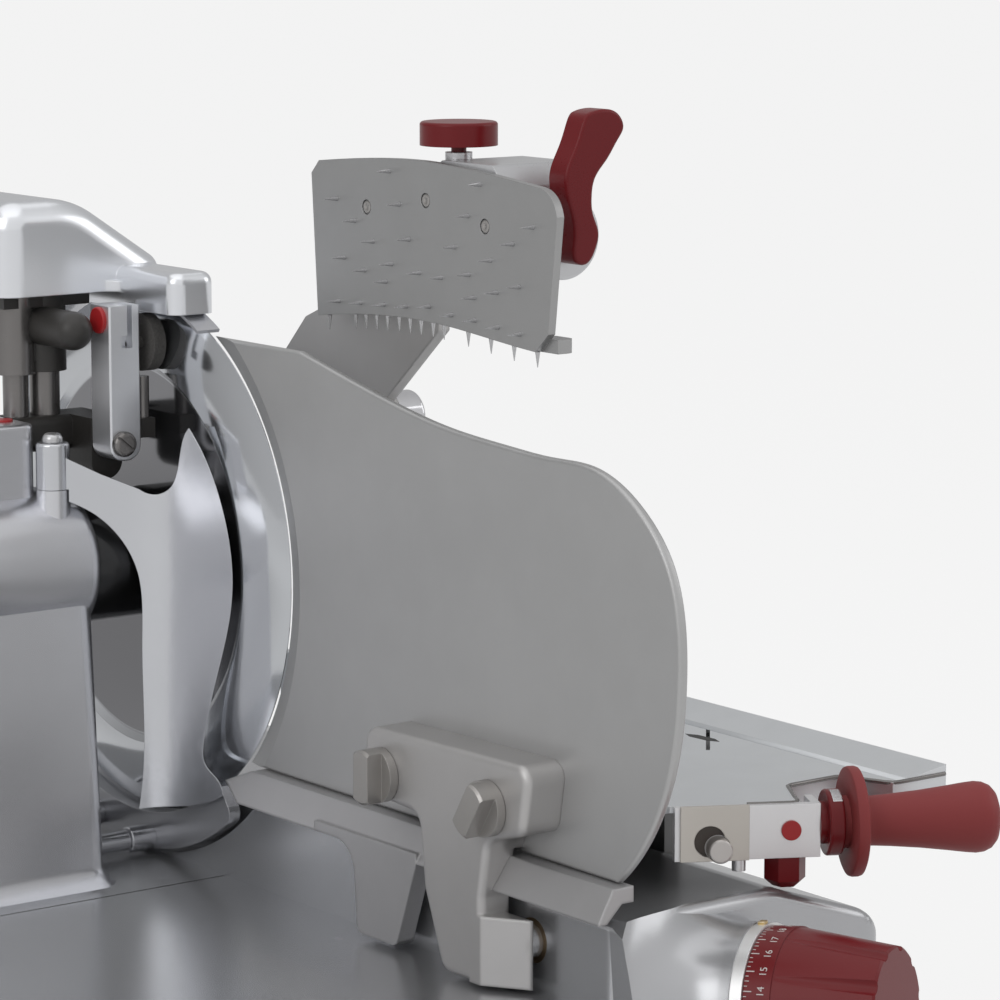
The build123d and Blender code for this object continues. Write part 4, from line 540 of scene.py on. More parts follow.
# Dark steel of the sharpener pins; on the tray's bead it is also painted shade along the lip.
ROD_STEEL = Metal("rod_steel", (0.22, 0.21, 0.205), 0.26, Grain.SATIN, spread=0.04)
PIN_SATIN = Metal("pin_satin", (0.60, 0.57, 0.55), 0.34, Grain.TURNED, spread=0.05)
CHROME = Metal("chrome_bar", (0.70, 0.70, 0.72), 0.10, Grain.SATIN, spread=0.02, relief=0.000004)
STAINLESS = Metal("brushed_stainless", (0.61, 0.575, 0.53), 0.30, Grain.BRUSHED)
FOIL = Metal("foil", (0.78, 0.78, 0.79), 0.22, Grain.BRUSHED, relief=0.00004)
BRASS = Metal("brass", (0.62, 0.45, 0.20), 0.28, Grain.SATIN)
BRONZE = Metal("oiled_bronze", (0.17, 0.12, 0.07), 0.34, Grain.SATIN)
BURGUNDY = Moulding("burgundy_moulding", (0.165, 0.009, 0.012), 0.30, dust=(0.30, 0.12, 0.12), shine=0.28)
GRIP_BURGUNDY = Moulding("grip_burgundy", (0.26, 0.045, 0.046), 0.5, dust=(0.34, 0.14, 0.14), shine=0.25)
MARKER_RED = Moulding("marker_red", (0.43, 0.015, 0.018), 0.35, dust_share=0.02)
BLACK_GLOSS = Moulding("black_gloss", (0.008, 0.008, 0.008), 0.16, coat=0.4, dust_share=0.02)
BLACK_MATT = Moulding("black_matt", (0.022, 0.022, 0.022), 0.55)
RUBBER = Moulding("foot_rubber", (0.016, 0.016, 0.016), 0.75, relief=0.00008)
# Near-black finish of the sharpener bracket.
DARK_BRACKET = Moulding("near_black_bracket", (0.03, 0.028, 0.026), 0.42, relief=0.0001, scale=420)
MOTOR_PAINT = Moulding("motor_enamel", (0.04, 0.045, 0.055), 0.4)
START_GREEN = Moulding("start_green", (0.02, 0.2, 0.05), 0.35)
SCALE_WHITE = Moulding("scale_white", (0.72, 0.68, 0.66), 0.5, dust_share=0.02)
# Painted shadow: near-black brown for the crescent in the keyhole, where the pin's flange casts its shadow.
KEYHOLE_PAINTED_SHADOW = Moulding("keyhole_painted_shadow", (0.07, 0.056, 0.047), 0.5, dust_share=0.02)
STONE = Grit("grinding_stone", (0.045, 0.042, 0.04), (0.12, 0.115, 0.11))

NODE_FINISH: dict[Finish, tuple[str, ...]] = {
    BASE_CAST: ("base_casting",),
    HEAD_CAST: ("head_casting", "head_rear_cover"),
    PRESS_CAST: ("press_housing",),
    FRAME_PAINTED_SHADE: ("carriage_frame", "slide_block"),
    GAUGE_SATIN: ("gauge_plate",),
    ARM_SATIN: ("gauge_arm", "press_arm"),
    RAIL_SATIN: ("gauge_rail",),
    PRESS_SATIN: ("press_plate",),
    TRAY_SATIN: ("carriage_tray",),
    BRACKET_BRIGHT: ("handle_bracket",),
    LINK_SATIN: ("link_bar",),
    COVER_POLISH: ("sharpener_cover",),
    DEFLECTOR_POLISH: ("deflector",),
    GUARD_POLISH: ("blade_guard", "guard_stays"),
    RING_POLISH: ("dial_ring",),
    BLADE_STEEL: ("blade",),
    STEEL: (
        "fasteners", "bearings", "spindle", "blade_screws",
        "gauge_slide", "dial_shaft", "carriage_roller", "carriage_guides",
        "press_spikes", "deflector_pin", "motor_rotor",
    ),
    KNOB_STEEL: ("clamp_knob_rear", "clamp_knob_front"),
    ROD_STEEL: ("sharpener_pins",),
    PIN_SATIN: ("bracket_pin",),
    CHROME: ("press_rod", "press_post"),
    STAINLESS: ("bottom_plate", "bracket_plate"),
    BRONZE: ("shaft_bushes", "slide_bushes"),
    BURGUNDY: ("dial_knob", "handle_collar", "release_knob", "press_knob", "press_lever"),
    GRIP_BURGUNDY: ("handle_grip",),
    MARKER_RED: ("bracket_marker", "pedestal_marker", "link_button", "stop_button"),
    BLACK_GLOSS: ("hub_collar",),
    BLACK_MATT: ("switch_bezel", "cable_gland"),
    RUBBER: ("feet", "drive_belt"),
    DARK_BRACKET: ("sharpener_bracket",),
    MOTOR_PAINT: ("motor",),
    START_GREEN: ("start_button",),
    STONE: ("sharpening_stone",),
}


def dress_nodes(nodes: dict[str, bpy.types.Object]) -> dict[str, bpy.types.Material]:
    """Give every solid its finish.

    Args:
        nodes: The solids by name.

    Returns:
        The materials by name.
    """
    shelf: dict[str, bpy.types.Material] = {}
    for finish, names in NODE_FINISH.items():
        shelf[finish.name] = finish.material()
        for name in names:
            node = nodes[name]
            node.data.materials.clear()
            node.data.materials.append(shelf[finish.name])
            LOG.info("%s: %s", name, finish.name)
    return shelf


def seat(origin: Vector, out: Vector, up: Vector) -> Matrix:
    """Frame of a part that sits on a surface.

    Args:
        origin: Where it sits, in the frame.
        out: Way out of the surface, its Z.
        up: Way up along the surface, its Y.

    Returns:
        The frame.
    """
    away = out.normalized()
    across = up.cross(away).normalized()
    turn = Matrix((across, away.cross(across), away)).transposed().to_4x4()
    return Matrix.Translation(origin) @ turn


class Shape:
    """A mesh under work, drawn in millimetres part by part."""

    WELD = 0.0005
    ARC_STEPS = 12
    SOFT_STEPS = 3
    WIRE_FACETS = 12
    LETTER_STEPS = 4
    ABOUT_Z = {"cent": (0, 0, 0), "axis": (0, 0, 1)}

    def __init__(self) -> None:
        """Start with nothing drawn."""
        self.mesh = bmesh.new()

    def _join(self, part: bmesh.types.BMesh, place: Matrix) -> Shape:
        """Close a part, turn its faces outwards and set it in place.

        Args:
            part: The part in millimetres.
            place: Its frame.

        Returns:
            This shape.
        """
        bmesh.ops.remove_doubles(part, verts=part.verts[:], dist=self.WELD)
        bmesh.ops.recalc_face_normals(part, faces=part.faces[:])
        part.transform(place @ Matrix.Scale(1 / MM_PER_METRE, 4))
        sheet = bpy.data.meshes.new("part")
        part.to_mesh(sheet)
        part.free()
        self.mesh.from_mesh(sheet)
        bpy.data.meshes.remove(sheet)
        return self

    def turned(self, profile: Sequence[Pair], place: Matrix, loop: bool = False, steps: int = 40) -> Shape:
        """Turn a profile about Z.

        Args:
            profile: Radius and height of its points.
            place: Frame of the part.
            loop: Whether the last point joins the first, as for a ring.
            steps: Facets round the part.

        Returns:
            This shape.
        """
        part = bmesh.new()
        verts = [part.verts.new((radius, 0.0, height)) for radius, height in profile]
        ends = verts + verts[:1] if loop else verts
        edges = [part.edges.new(pair) for pair in zip(ends, ends[1:])]
        round_z = {**self.ABOUT_Z, "angle": math.tau, "steps": steps}
        bmesh.ops.spin(part, geom=verts + edges, use_merge=True, **round_z)
        return self._join(part, place)

    def arc(self, section: Sequence[Pair], start: float, sweep: float, place: Matrix) -> Shape:
        """Sweep a section part of the way round Z.

        Args:
            section: Radius and height of its corners.
            start: First angle in degrees.
            sweep: Angle that it covers.
            place: Frame of the part.

        Returns:
            This shape.
        """
        part = bmesh.new()
        face = part.faces.new([part.verts.new((radius, 0.0, height)) for radius, height in section])
        round_z = {**self.ABOUT_Z, "angle": math.radians(sweep), "steps": self.ARC_STEPS}
        bmesh.ops.spin(part, geom=[face], **round_z)
        part.transform(Matrix.Rotation(math.radians(start), 4, "Z"))
        return self._join(part, place)

    def slab(self, outline: Sequence[Pair], thickness: float, place: Matrix, soft: float = 0.0) -> Shape:
        """Raise a flat outline.

        Args:
            outline: Corners in the plane.
            thickness: How far it rises along Z.
            place: Frame of the part.
            soft: Rounding of its edges.

        Returns:
            This shape.
        """
        part = bmesh.new()
        face = part.faces.new([part.verts.new((x, y, 0.0)) for x, y in outline])
        grown = bmesh.ops.extrude_face_region(part, geom=[face])["geom"]
        top = [piece for piece in grown if isinstance(piece, bmesh.types.BMVert)]
        bmesh.ops.translate(part, verts=top, vec=(0, 0, thickness))
        if soft:
            rounding = {"affect": "EDGES", "segments": self.SOFT_STEPS, "profile": 0.5, "material": -1}
            bmesh.ops.bevel(part, geom=part.edges[:], offset=soft, **rounding)
        return self._join(part, place)

    def bar(self, width: float, length: float, thickness: float, place: Matrix, soft: float = 0.0) -> Shape:
        """Raise a rectangle about the origin of its frame.

        Args:
            width: Size along X.
            length: Size along Y.
            thickness: How far it rises along Z.
            place: Frame of the part.
            soft: Rounding of its edges.

        Returns:
            This shape.
        """
        x, y = width / 2, length / 2
        return self.slab(((-x, -y), (x, -y), (x, y), (-x, y)), thickness, place, soft)

    def wire(self, points: Sequence[Place], radius: float) -> Shape:
        """Lead a round wire through points.

        Args:
            points: Points measured from the blade centre.
            radius: Radius of the wire.

        Returns:
            This shape.
        """
        part = bmesh.new()
        path = [Vector(point) for point in points]
        rings = []
        for index, point in enumerate(path):
            ahead = path[min(index + 1, len(path) - 1)] - path[max(index - 1, 0)]
            turn = ahead.to_track_quat("Z", "Y").to_matrix().to_4x4()
            ring = {"radius": radius, "matrix": Matrix.Translation(point) @ turn}
            at_end = index in (0, len(path) - 1)
            made = bmesh.ops.create_circle(part, cap_ends=at_end, segments=self.WIRE_FACETS, **ring)
            rings.append(list({edge for vert in made["verts"] for edge in vert.link_edges}))
        for first, second in zip(rings, rings[1:]):
            bmesh.ops.bridge_loops(part, edges=first + second)
        return self._join(part, Matrix.Translation(BLADE_CENTRE))

    def words(self, text: str, size: float, thickness: float, place: Matrix) -> Shape:
        """Raise characters about the origin of their frame.

        Args:
            text: What is written.
            size: Size of the letters.
            thickness: How far they stand on both sides of the plane.
            place: Frame of the part.

        Returns:
            This shape.
        """
        data = bpy.data.curves.new("words", "FONT")
        data.body = text
        data.size = size
        data.extrude = thickness
        data.resolution_u = self.LETTER_STEPS
        data.align_x = "CENTER"
        data.align_y = "CENTER"
        holder = bpy.data.objects.new("words", data)
        sheet = bpy.data.meshes.new_from_object(holder)
        part = bmesh.new()
        part.from_mesh(sheet)
        bpy.data.objects.remove(holder)
        bpy.data.curves.remove(data)
        bpy.data.meshes.remove(sheet)
        return self._join(part, place)


@dataclass
class Bench:
    """Where a drawn shape becomes a finished piece, with a shelf of materials by name."""

    shelf: dict[str, bpy.types.Material]
    crease: float = math.radians(35)

    def fit(self, name: str, shape: Shape, finish: Finish, body: str) -> bpy.types.Object:
        """Dress a shape and let it ride on a body.

        Args:
            name: Name of the piece.
            shape: Its mesh.
            finish: Its surface.
            body: Body that it moves with.

        Returns:
            The finished piece.
        """
        mesh = bpy.data.meshes.new(name)
        shape.mesh.to_mesh(mesh)
        shape.mesh.free()
        mesh.shade_smooth()
        mesh.set_sharp_from_angle(angle=self.crease)
        if finish.name not in self.shelf:
            self.shelf[finish.name] = finish.material()
        mesh.materials.append(self.shelf[finish.name])
        piece = bpy.data.objects.new(name, mesh)
        bpy.context.scene.collection.objects.link(piece)
        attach(piece, body)
        LOG.info("%s: %s on %s", name, finish.name, body)
        return piece


@dataclass
class DialMarks:
    """Scale on the skirt of the thickness dial and the index on its ring."""

    centre: Place = (75.8, -515.0, -194.5)
    yaw: float = 27.0
    tilt: float = 5.2
    skirt: float = 45.6
    numbers: int = 24
    step: float = 14.5
    shown: float = 18.0
    lead: float = 6.0
    mark_sink: float = 0.05
    figure: float = 6.0
    figure_reach: float = 17.9
    line: Pair = (0.6, 4.8)
    line_reach: float = 10.1
    line_rise: float = 0.2
    fine_lines: tuple[Pair, ...] = ((0.25, 1.9), (0.5, 2.6), (0.75, 1.9))
    fine_width: float = 0.45
    fine_reach: float = 7.7
    index: Place = (2.0, 47.2, 1.4)
    index_size: Place = (5.2, 3.2, 4.5)
    index_soft: float = 0.6

    def _axes(self) -> tuple[Vector, Vector, Vector]:
        """Axes of the dial: across, up its face and out along its shaft.

        Returns:
            The three directions.
        """
        yaw, tilt = math.radians(self.yaw), math.radians(self.tilt)
        out = Vector((math.sin(yaw) * math.cos(tilt), -math.cos(yaw) * math.cos(tilt), math.sin(tilt)))
        across = Vector((math.cos(yaw), math.sin(yaw), 0.0))
        return across, out.cross(across), out

    def _mark(self, angle: float, reach: float, sink: float) -> Matrix:
        """Frame of a mark on the skirt.

        Args:
            angle: Degrees from the top of the dial.
            reach: Millimetres out along the shaft.
            sink: How far the mark is let in.

        Returns:
            The frame, with the figures' feet away from the machine.
        """
        across, up, out = self._axes()
        turn = math.radians(angle)
        radial = up * math.cos(turn) - across * math.sin(turn)
        point = out * reach + radial * (self.skirt - sink)
        return seat(spot(*self.centre) + point / MM_PER_METRE, radial, -out)

    def build(self, bench: Bench) -> None:
        """Draw the scale and the index.

        Args:
            bench: Where the pieces are finished.
        """
        scale = Shape()
        for number in range(self.numbers):
            angle = self.lead + (self.shown - number) * self.step
            scale.words(str(number), self.figure, THIN, self._mark(angle, self.figure_reach, 0.0))
            place = self._mark(angle, self.line_reach, self.mark_sink)
            scale.bar(*self.line, self.line_rise, place)
            for part, length in self.fine_lines if number else ():
                reach = self.fine_reach + length / 2
                place = self._mark(angle + part * self.step, reach, self.mark_sink)
                scale.bar(self.fine_width, length, self.line_rise, place)
        bench.fit("dial_scale", scale, SCALE_WHITE, "dial")
        across, up, out = self._axes()
        x, y, z = self.index
        point = across * x + up * y + out * z
        place = seat(spot(*self.centre) + point / MM_PER_METRE, out, up)
        index = Shape().bar(*self.index_size, place, self.index_soft)
        bench.fit("dial_index", index, BRASS, "frame")


@dataclass
class CarriageTrim:
    """Grip, foil and painted keyhole shadow of the handle, with the tray's bead, whose dark steel is partly
    painted shade, and painted shade in the slits and along the rim.
    """

    corner: Place = (64.9, -451.6, -92.0)
    turn: float = 28.5
    axis_in: float = 10.0
    axis_drop: float = 13.5
    grip_facets: int = 64
    grip: tuple[Pair, ...] = (
        (0.0, 97.0), (15.0, 97.0), (15.0, 101.0), (29.5, 101.0), (31.0, 101.7), (31.5, 103.2),
        (31.5, 106.3), (31.0, 107.8), (29.5, 108.5), (17.5, 108.5), (15.2, 109.4), (14.3, 111.8),
        (14.3, 116.0), (14.9, 126.0), (16.5, 144.0), (18.5, 160.0), (19.9, 170.0), (20.5, 176.0),
        (20.0, 180.5), (18.2, 184.5), (15.0, 187.3), (10.5, 188.9), (5.0, 189.4), (0.0, 189.5),
    )
    keyhole: Pair = (19.9, -19.5)
    keyhole_radius: float = 8.9
    pin: Pair = (4.7, -4.0)
    pin_radius: float = 7.4
    liner_facets: int = 72
    bead: float = 1.3
    bead_drop: float = 0.5
    bead_in: float = 5.6
    bead_run: Pair = (42.5, 68.0)
    bead_bend: Pair = (3.2, 0.8)
    bead_path: tuple[Pair, ...] = (
        (134.4, -476.3), (137.0, -471.2), (149.4, -451.6), (152.0, -447.8), (156.0, -446.0), (190.0, -446.0),
        (193.4, -447.4), (195.0, -450.6), (204.4, -473.6), (207.2, -477.0), (211.0, -478.0), (247.0, -478.0),
    )
    short_slit: tuple[Pair, Pair] = ((193, -308), (195, -334))
    long_slit: tuple[Pair, Pair] = ((216, -300), (175, -349))
    # Dark strips under the slits: painted shade inside them.
    backing: Pair = (6.0, 1.2)
    backing_top: float = -96.05
    backing_spare: float = 5.0
    backing_soft: float = 0.4
    # Dark pointed mark over the short slit: painted shade of its far wall.
    slit_edge: float = 7.0
    slit_edge_spare: float = 2.0
    slit_edge_rise: float = 0.08
    # Strip of painted shade where the rim of the tray slopes.
    band: tuple[Pair, Pair] = ((211.0, 243.0), (-476.0, -200.0))
    collar: float = 19.0
    foil: Pair = (90.6, 96.2)
    foil_arc: Pair = (92, 37)
    foil_rise: float = 0.14
    foil_slope: float = 0.1
    rib_arc: Pair = (94, 33)
    ribs: int = 6
    rib_margin: float = 0.8
    rib_half: float = 0.3
    rib_rise: Pair = (0.1, 0.3)

    def _along(self) -> tuple[Vector, Vector]:
        """Ways along the bracket and inwards from it.

        Returns:
            The two directions.
        """
        turn = math.radians(self.turn)
        run = Vector((math.cos(turn), -math.sin(turn), 0.0))
        return run, Vector((math.sin(turn), math.cos(turn), 0.0))

    def _on_axis(self, reach: float) -> Matrix:
        """Frame on the axis of the handle.

        Args:
            reach: Distance along the axis.

        Returns:
            The frame, with its Z along the axis.
        """
        run, inward = self._along()
        axis = Vector(self.corner) + inward * self.axis_in + DOWN * self.axis_drop
        return seat(spot(*(axis + run * reach)), run, UP)

    def _on_slit(self, slit: tuple[Pair, Pair], height: float) -> tuple[Vector, Vector]:
        """Find a slit of the tray.

        Args:
            slit: Its ends.
            height: Height of the point.

        Returns:
            The point at the middle of the slit, and the way along it.
        """
        start, end = slit
        middle = spot((start[0] + end[0]) / 2, (start[1] + end[1]) / 2, height)
        return middle, Vector((end[0] - start[0], end[1] - start[1], 0.0))

    def build(self, bench: Bench) -> None:
        """Draw the trim.

        Args:
            bench: Where the pieces are finished.
        """
        piece = bench.fit("turned_grip", self._turned_grip(), GRIP_BURGUNDY, "carriage")
        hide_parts("handle_grip")
        # Painted shadow: the dark crescent in the keyhole beside the pin.
        bench.fit("keyhole_shadow_crescent", self._keyhole_liner(), KEYHOLE_PAINTED_SHADOW, "carriage")
        # A real rounded bead, whose dark steel is partly painted shade along the tray's lip.
        bench.fit("tray_bead_painted_shade", self._edge_bead(), ROD_STEEL, "carriage")
        # Painted shade: dark strips under the slits of the tray.
        bench.fit("tray_slit_painted_shade", self._slit_backing(), BLACK_MATT, "carriage")
        # Painted shade: a dark pointed mark over the short slit.
        bench.fit("tray_slit_shade_mark", self._slit_edge(), BLACK_MATT, "carriage")
        # Painted shade: a darker strip along the sloping rim of the tray.
        bench.fit("tray_rim_shade_strip", self._rim_band(), BAND_PAINTED_SHADE, "carriage")
        bench.fit("collar_foil", self._collar_foil(), FOIL, "carriage")

    def _turned_grip(self) -> Shape:
        """Turn the handle with its hand guard and a round end.

        Returns:
            The drawn grip.
        """
        return Shape().turned(self.grip, self._on_axis(0.0), False, self.grip_facets)

    def _keyhole_liner(self) -> Shape:
        """Lay a dark crescent in the keyhole beside the pin, as a painted shadow of the pin's flange.

        Returns:
            The drawn painted shadow.
        """
        run, inward = self._along()
        along, height = self.keyhole
        place = Vector(self.corner) + run * along + UP * height
        middle = Vector(self.pin)
        first = math.atan2(middle.y, middle.x)
        turns = [first + math.tau * step / self.liner_facets for step in range(self.liner_facets + 1)]
        rim = [Vector((math.cos(turn), math.sin(turn))) * self.keyhole_radius for turn in turns]
        bite = [middle + Vector((math.cos(turn), math.sin(turn))) * self.pin_radius for turn in turns]
        outline = [point for point in rim if (point - middle).length > self.pin_radius]
        outline += [point for point in reversed(bite) if point.length < self.keyhole_radius]
        return Shape().slab(outline, THIN, seat(spot(*place), -inward, UP))

    def _edge_bead(self) -> Shape:
        """Lead a steel bead along the notched front edge of the tray; its dark steel is partly painted shade
        along the lip.

        Returns:
            The drawn bead.
        """
        run, inward = self._along()
        base = Vector(self.corner)
        first, last = [base + run * reach + inward * self.bead_in for reach in self.bead_run]
        bend = (last.x + self.bead_bend[0], last.y - self.bead_bend[1])
        low = base.z - self.bead_drop
        path = [(x, y, low) for x, y in (first.xy, last.xy, bend, *self.bead_path)]
        return Shape().wire(path, self.bead)

    def _slit_backing(self) -> Shape:
        """Close the slits of the tray from below with dark strips, as painted shade inside the slits.

        Returns:
            The drawn strips.
        """
        strips = Shape()
        width, thickness = self.backing
        for slit in (self.short_slit, self.long_slit):
            middle, way = self._on_slit(slit, self.backing_top)
            length = way.length + self.backing_spare
            strips.bar(width, length, thickness, seat(middle, DOWN, way), self.backing_soft)
        return strips

    def _slit_edge(self) -> Shape:
        """Lay a dark pointed mark over the short slit, as painted shade of its far wall.

        Returns:
            The drawn mark.
        """
        middle, way = self._on_slit(self.short_slit, self.corner[2] - SINK)
        reach, half = way.length / 2 + self.slit_edge_spare, self.slit_edge / 2
        right = ((0.0, -reach), (half, -reach / 2), (half, reach / 2))
        left = ((0.0, reach), (-half, reach / 2), (-half, -reach / 2))
        return Shape().slab(right + left, self.slit_edge_rise, seat(middle, UP, way))

    def _rim_band(self) -> Shape:
        """Lay a thin darker strip along the far edge of the tray, as painted shade of its sloping rim.

        Returns:
            The drawn strip.
        """
        (near, far), (front, rear) = self.band
        middle = spot((near + far) / 2, (front + rear) / 2, self.corner[2] - SINK)
        return Shape().bar(far - near, rear - front, THIN, seat(middle, UP, REAR), THIN_SOFT)

    def _collar_foil(self) -> Shape:
        """Wrap a ribbed foil patch round part of the handle's collar.

        Returns:
            The drawn foil.
        """
        near, far = self.foil
        place = self._on_axis(near)
        wide = far - near
        rim = self.collar - SINK
        face, slope = rim + self.foil_rise, self.foil_slope
        foil = Shape()
        foil.arc(((rim, 0.0), (face, slope), (face, wide - slope), (rim, wide)), *self.foil_arc, place)
        half = self.rib_half
        foot, crest = [rim + rise for rise in self.rib_rise]
        for rib in range(self.ribs):
            middle = self.rib_margin + rib * (wide - 2 * self.rib_margin) / (self.ribs - 1)
            section = ((foot, middle - half), (crest, middle), (foot, middle + half))
            foil.arc(section, *self.rib_arc, place)
        return foil


@dataclass
class SwitchMarks:
    """Bar and ring on the faces of the start and stop buttons."""

    start: Place = (-222.0, -495.0, -236.0)
    stop: Place = (-188.0, -495.0, -236.0)
    bar: Place = (1.6, 9.0, 0.25)
    bar_soft: float = 0.1
    ring: Pair = (3.2, 4.7)
    ring_rise: float = 0.2

    def build(self, bench: Bench) -> None:
        """Draw both marks.

        Args:
            bench: Where the pieces are finished.
        """
        bar = Shape().bar(*self.bar, seat(spot(*self.start), FRONT, UP), self.bar_soft)
        bench.fit("start_mark", bar, SCALE_WHITE, "start")
        inner, outer = self.ring
        low, high = -SINK, self.ring_rise
        section = ((inner, low), (outer, low), (outer, high), (inner, high))
        ring = Shape().turned(section, seat(spot(*self.stop), FRONT, UP), True)
        bench.fit("stop_mark", ring, SCALE_WHITE, "stop")


@dataclass
class TableSeam:
    """Joint line across the slice table in front of the column."""

    y: float = -97.0
    left: float = -293.0
    right: float = -6.6
    top: float = -193.0
    width: float = 0.9

    def build(self, bench: Bench) -> None:
        """Lay the line.

        Args:
            bench: Where the piece is finished.
        """
        middle = spot((self.left + self.right) / 2, self.y, self.top - SINK)
        line = Shape().bar(self.width, self.right - self.left, THIN, seat(middle, UP, RIGHT), THIN_SOFT)
        bench.fit("table_seam", line, BLACK_MATT, "frame")


@dataclass
class ScrewRecesses:
    """Painted shade of the cross recesses of the cover screws, and heads on the press plate."""

    cover_face: float = -231.0
    cover_places: tuple[Pair, ...] = ((-65.6, -177.0), (64.2, -177.0), (34.8, 26.1), (-34.8, 26.1))
    cross: Place = (0.9, 4.6, 0.1)
    press_face: float = 42.6
    press_places: tuple[Pair, ...] = ((-186, 229), (-246, 237), (-304, 226))
    head: tuple[Pair, ...] = (
        (0.0, 0.2), (1.4, 0.22), (1.7, 0.42), (3.4, 0.5), (3.75, 0.3), (3.75, -0.02), (0.0, -0.02),
    )

    def build(self, bench: Bench) -> None:
        """Draw the painted shade of the recesses and the heads.

        Args:
            bench: Where the pieces are finished.
        """
        # Painted shade: flat black crosses for the shade inside the screws' cross recesses.
        crosses = Shape()
        width, length, rise = self.cross
        for y, z in self.cover_places:
            place = seat(spot(self.cover_face + SINK, y, z), LEFT, UP)
            crosses.bar(width, length, rise, place).bar(length, width, rise, place)
        bench.fit("cover_screw_recess_shade", crosses, BLACK_MATT, "frame")
        heads = Shape()
        for y, z in self.press_places:
            heads.turned(self.head, seat(spot(self.press_face, y, z), LEFT, UP))
        bench.fit("press_plate_screws", heads, KNOB_STEEL, "press")


@dataclass
class Undersides:
    """Ribs of the rubber feet and of the cable gland."""

    feet: tuple[Pair, ...] = ((-254, -440), (150, -440), (-254, 149), (150, 149))
    foot_rim: float = 18.9
    foot_rib: Place = (0.8, 0.5, 1.2)
    foot_ribs: tuple[float, ...] = (-295.0, -289.0, -283.0)
    gland: Place = (-120.0, 195.0, -238.0)
    gland_rim: float = 8.95
    gland_rib: Place = (0.5, 0.3, 0.8)
    gland_ribs: tuple[float, ...] = (9.5, 12.0, 14.5)

    def _section(self, rim: float, rib: Place) -> tuple[Pair, ...]:
        """Section of a rib that stands on a round piece.

        Args:
            rim: Radius that it stands on.
            rib: How far it stands out, and half its width at the top and at the foot.

        Returns:
            Its corners.
        """
        rise, top, foot = rib
        return (rim, -foot), (rim + rise, -top), (rim + rise, top), (rim, foot)

    def build(self, bench: Bench) -> None:
        """Draw the ribs.

        Args:
            bench: Where the pieces are finished.
        """
        ribs = Shape()
        section = self._section(self.foot_rim, self.foot_rib)
        for x, y in self.feet:
            for z in self.foot_ribs:
                ribs.turned(section, seat(spot(x, y, z), UP, REAR), True)
        bench.fit("foot_ribs", ribs, RUBBER, "frame")
        rings = Shape()
        section = self._section(self.gland_rim, self.gland_rib)
        x, y, z = self.gland
        for reach in self.gland_ribs:
            rings.turned(section, seat(spot(x, y + reach, z), REAR, UP), True)
        bench.fit("gland_ribs", rings, BLACK_MATT, "frame")


@dataclass(frozen=True)
class SoftBox:
    """A lamp with a soft rectangular face."""

    name: str
    place: Place
    aim: Place
    size: Pair
    power: float

    def hang(self) -> None:
        """Hang the lamp and turn it to its aim."""
        data = bpy.data.lights.new(self.name, "AREA")
        data.shape = "RECTANGLE"
        data.size, data.size_y = self.size
        data.energy = self.power
        lamp = bpy.data.objects.new(self.name, data)
        lamp.location = self.place
        lamp.rotation_euler = (Vector(self.aim) - Vector(self.place)).to_track_quat("-Z", "Y").to_euler()
        bpy.context.scene.collection.objects.link(lamp)


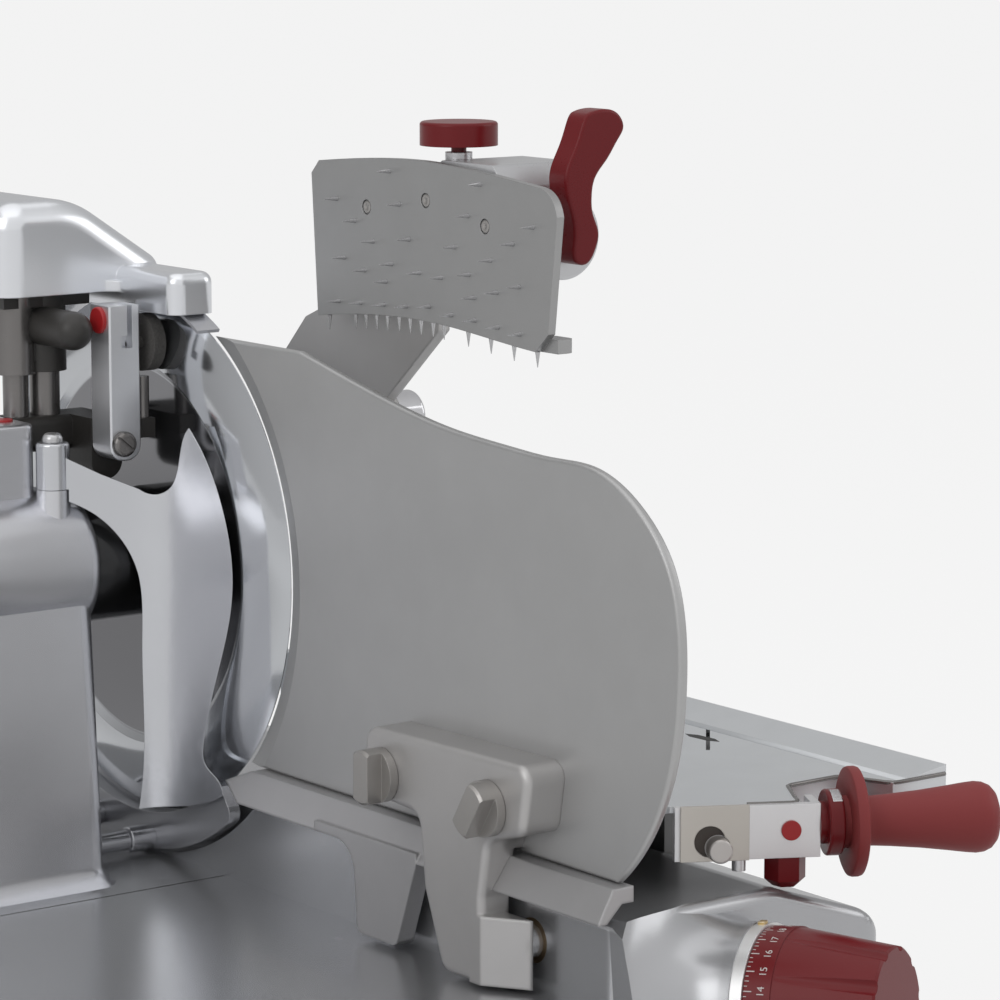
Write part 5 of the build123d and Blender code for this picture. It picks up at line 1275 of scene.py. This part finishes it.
@dataclass
class Studio:
    """Camera, floor, world and lamps."""

    eye: Place = (-1.3062, -1.9495, 0.7385)
    yaw: float = 37.0
    pitch: float = 9.2
    lens: float = 144.0
    sensor: float = 36.0
    pale: float = 0.887
    floor_size: float = 60.0
    floor_grey: float = 0.62
    floor_glow: float = 1.1
    dark_corner: Place = (-1.0, 1.3, 0.0)
    dark_reach: Pair = (0.5, 1.3)
    dark_share: float = 0.45
    floor_shown: float = 0.86
    floor_mirrored: float = 0.5
    ahead: Pair = (0.6, 0.79)
    mirrored: float = 0.52
    ambient: float = 0.36
    boxes: tuple[SoftBox, ...] = (
        SoftBox("ceiling_box", (-0.2, 0.2, 2.6), (0.0, 0.1, 0.3), (3.4, 2.6), 11.0),
        SoftBox("left_box", (-2.6, -0.6, 1.7), (0.0, 0.1, 0.3), (1.8, 1.8), 14.0),
        SoftBox("right_box", (2.2, -1.2, 1.4), (0.0, 0.0, 0.3), (1.4, 1.4), 7.0),
    )

    def build(self) -> None:
        """Set up everything that is not the object."""
        self._camera()
        self._floor()
        self._world()
        for box in self.boxes:
            box.hang()
        bpy.context.scene.view_settings.view_transform = "Standard"

    def _camera(self) -> None:
        """Put the camera where the picture was taken from."""
        data = bpy.data.cameras.new("camera")
        data.lens = self.lens
        data.sensor_width = self.sensor
        data.sensor_height = self.sensor
        data.sensor_fit = "HORIZONTAL"
        data.clip_end = 100.0
        camera = bpy.data.objects.new("camera", data)
        turn = Matrix.Rotation(math.radians(-self.yaw), 4, "Z")
        tilt = Matrix.Rotation(math.radians(90 - self.pitch), 4, "X")
        camera.matrix_world = Matrix.Translation(self.eye) @ turn @ tilt
        bpy.context.scene.collection.objects.link(camera)
        bpy.context.scene.camera = camera

    def _floor(self) -> None:
        """Lay a pale floor that keeps the object's shadow, with a dark corner for the metal to mirror."""
        mesh = bpy.data.meshes.new("floor")
        shape = bmesh.new()
        bmesh.ops.create_grid(shape, x_segments=1, y_segments=1, size=self.floor_size)
        shape.to_mesh(mesh)
        shape.free()
        floor = bpy.data.objects.new("floor", mesh)
        bpy.context.scene.collection.objects.link(floor)
        made, graph = fresh_material("floor")
        camera, glossy, through = self._rays(graph)
        x, y, _ = graph.split(graph.place(self.dark_corner))
        corner = 1 - ((x * x + y * y) ** 0.5).band(*self.dark_reach)
        mirrored = self.floor_mirrored - corner * self.dark_share
        seen = (camera + through) * self.floor_shown + glossy * mirrored
        grey = (self.floor_grey,) * 3
        pale = (self.pale,) * 3
        plain = graph.flow("ShaderNodeBsdfDiffuse", {}, {"Color": grey})
        bright = graph.flow("ShaderNodeEmission", {}, {"Color": pale, "Strength": self.floor_glow})
        mixed = graph.flow("ShaderNodeMixShader", {}, {0: seen, 1: plain, 2: bright})
        graph.node("ShaderNodeOutputMaterial", {}, {"Surface": mixed})
        mesh.materials.append(made)

    def _rays(self, graph: Graph) -> list[Flow]:
        """One for each kind of ray that shows the backdrop.

        Args:
            graph: The graph of the floor or the world.

        Returns:
            Rays from the camera, off metal and through glass.
        """
        path = graph.node("ShaderNodeLightPath", {}, {})
        kinds = ("Is Camera Ray", "Is Glossy Ray", "Is Transmission Ray")
        return [Flow(graph, path.outputs[kind]) for kind in kinds]

    def _world(self) -> None:
        """Light the room softly: pale to the camera, for the metal bright in front and dim at the left."""
        world = bpy.data.worlds.new("room")
        world.use_nodes = True
        bpy.context.scene.world = world
        graph = Graph(world.node_tree)
        camera, glossy, through = self._rays(graph)
        x, y, z = graph.split(graph.flow("ShaderNodeTexCoord", {}, {}, "Generated"))
        east, north = self.ahead
        front = x * -east + y * -north
        left = x * -north + y * east
        front_glow = front.band(-0.7, 0.5) * 0.36
        top_glow = z.band(0.3, 0.85) * 0.06
        left_shade = left.band(0.4, 0.95) * 0.25
        mirrored = self.mirrored + front_glow + top_glow - left_shade
        room = self.ambient + z.band(0.1, 0.8) * 0.30 + front.band(-0.6, 0.9) * 0.12
        shown = camera + through
        strength = (shown + glossy * mirrored) * self.pale + (1 - shown - glossy) * room
        glow = graph.flow("ShaderNodeBackground", {}, {"Color": (1.0, 1.0, 1.0), "Strength": strength})
        graph.node("ShaderNodeOutputWorld", {}, {"Surface": glow})


def main() -> None:
    """Dress the solids, add the small pieces and set up the studio."""
    logging.basicConfig(level=logging.INFO, format="%(message)s")
    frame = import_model()
    Studio().build()
    bench = Bench(dress_nodes(frame["nodes"]))
    for fittings in (DialMarks(), CarriageTrim(), SwitchMarks(), TableSeam(), ScrewRecesses(), Undersides()):
        fittings.build(bench)


if __name__ == "__main__":
    main()
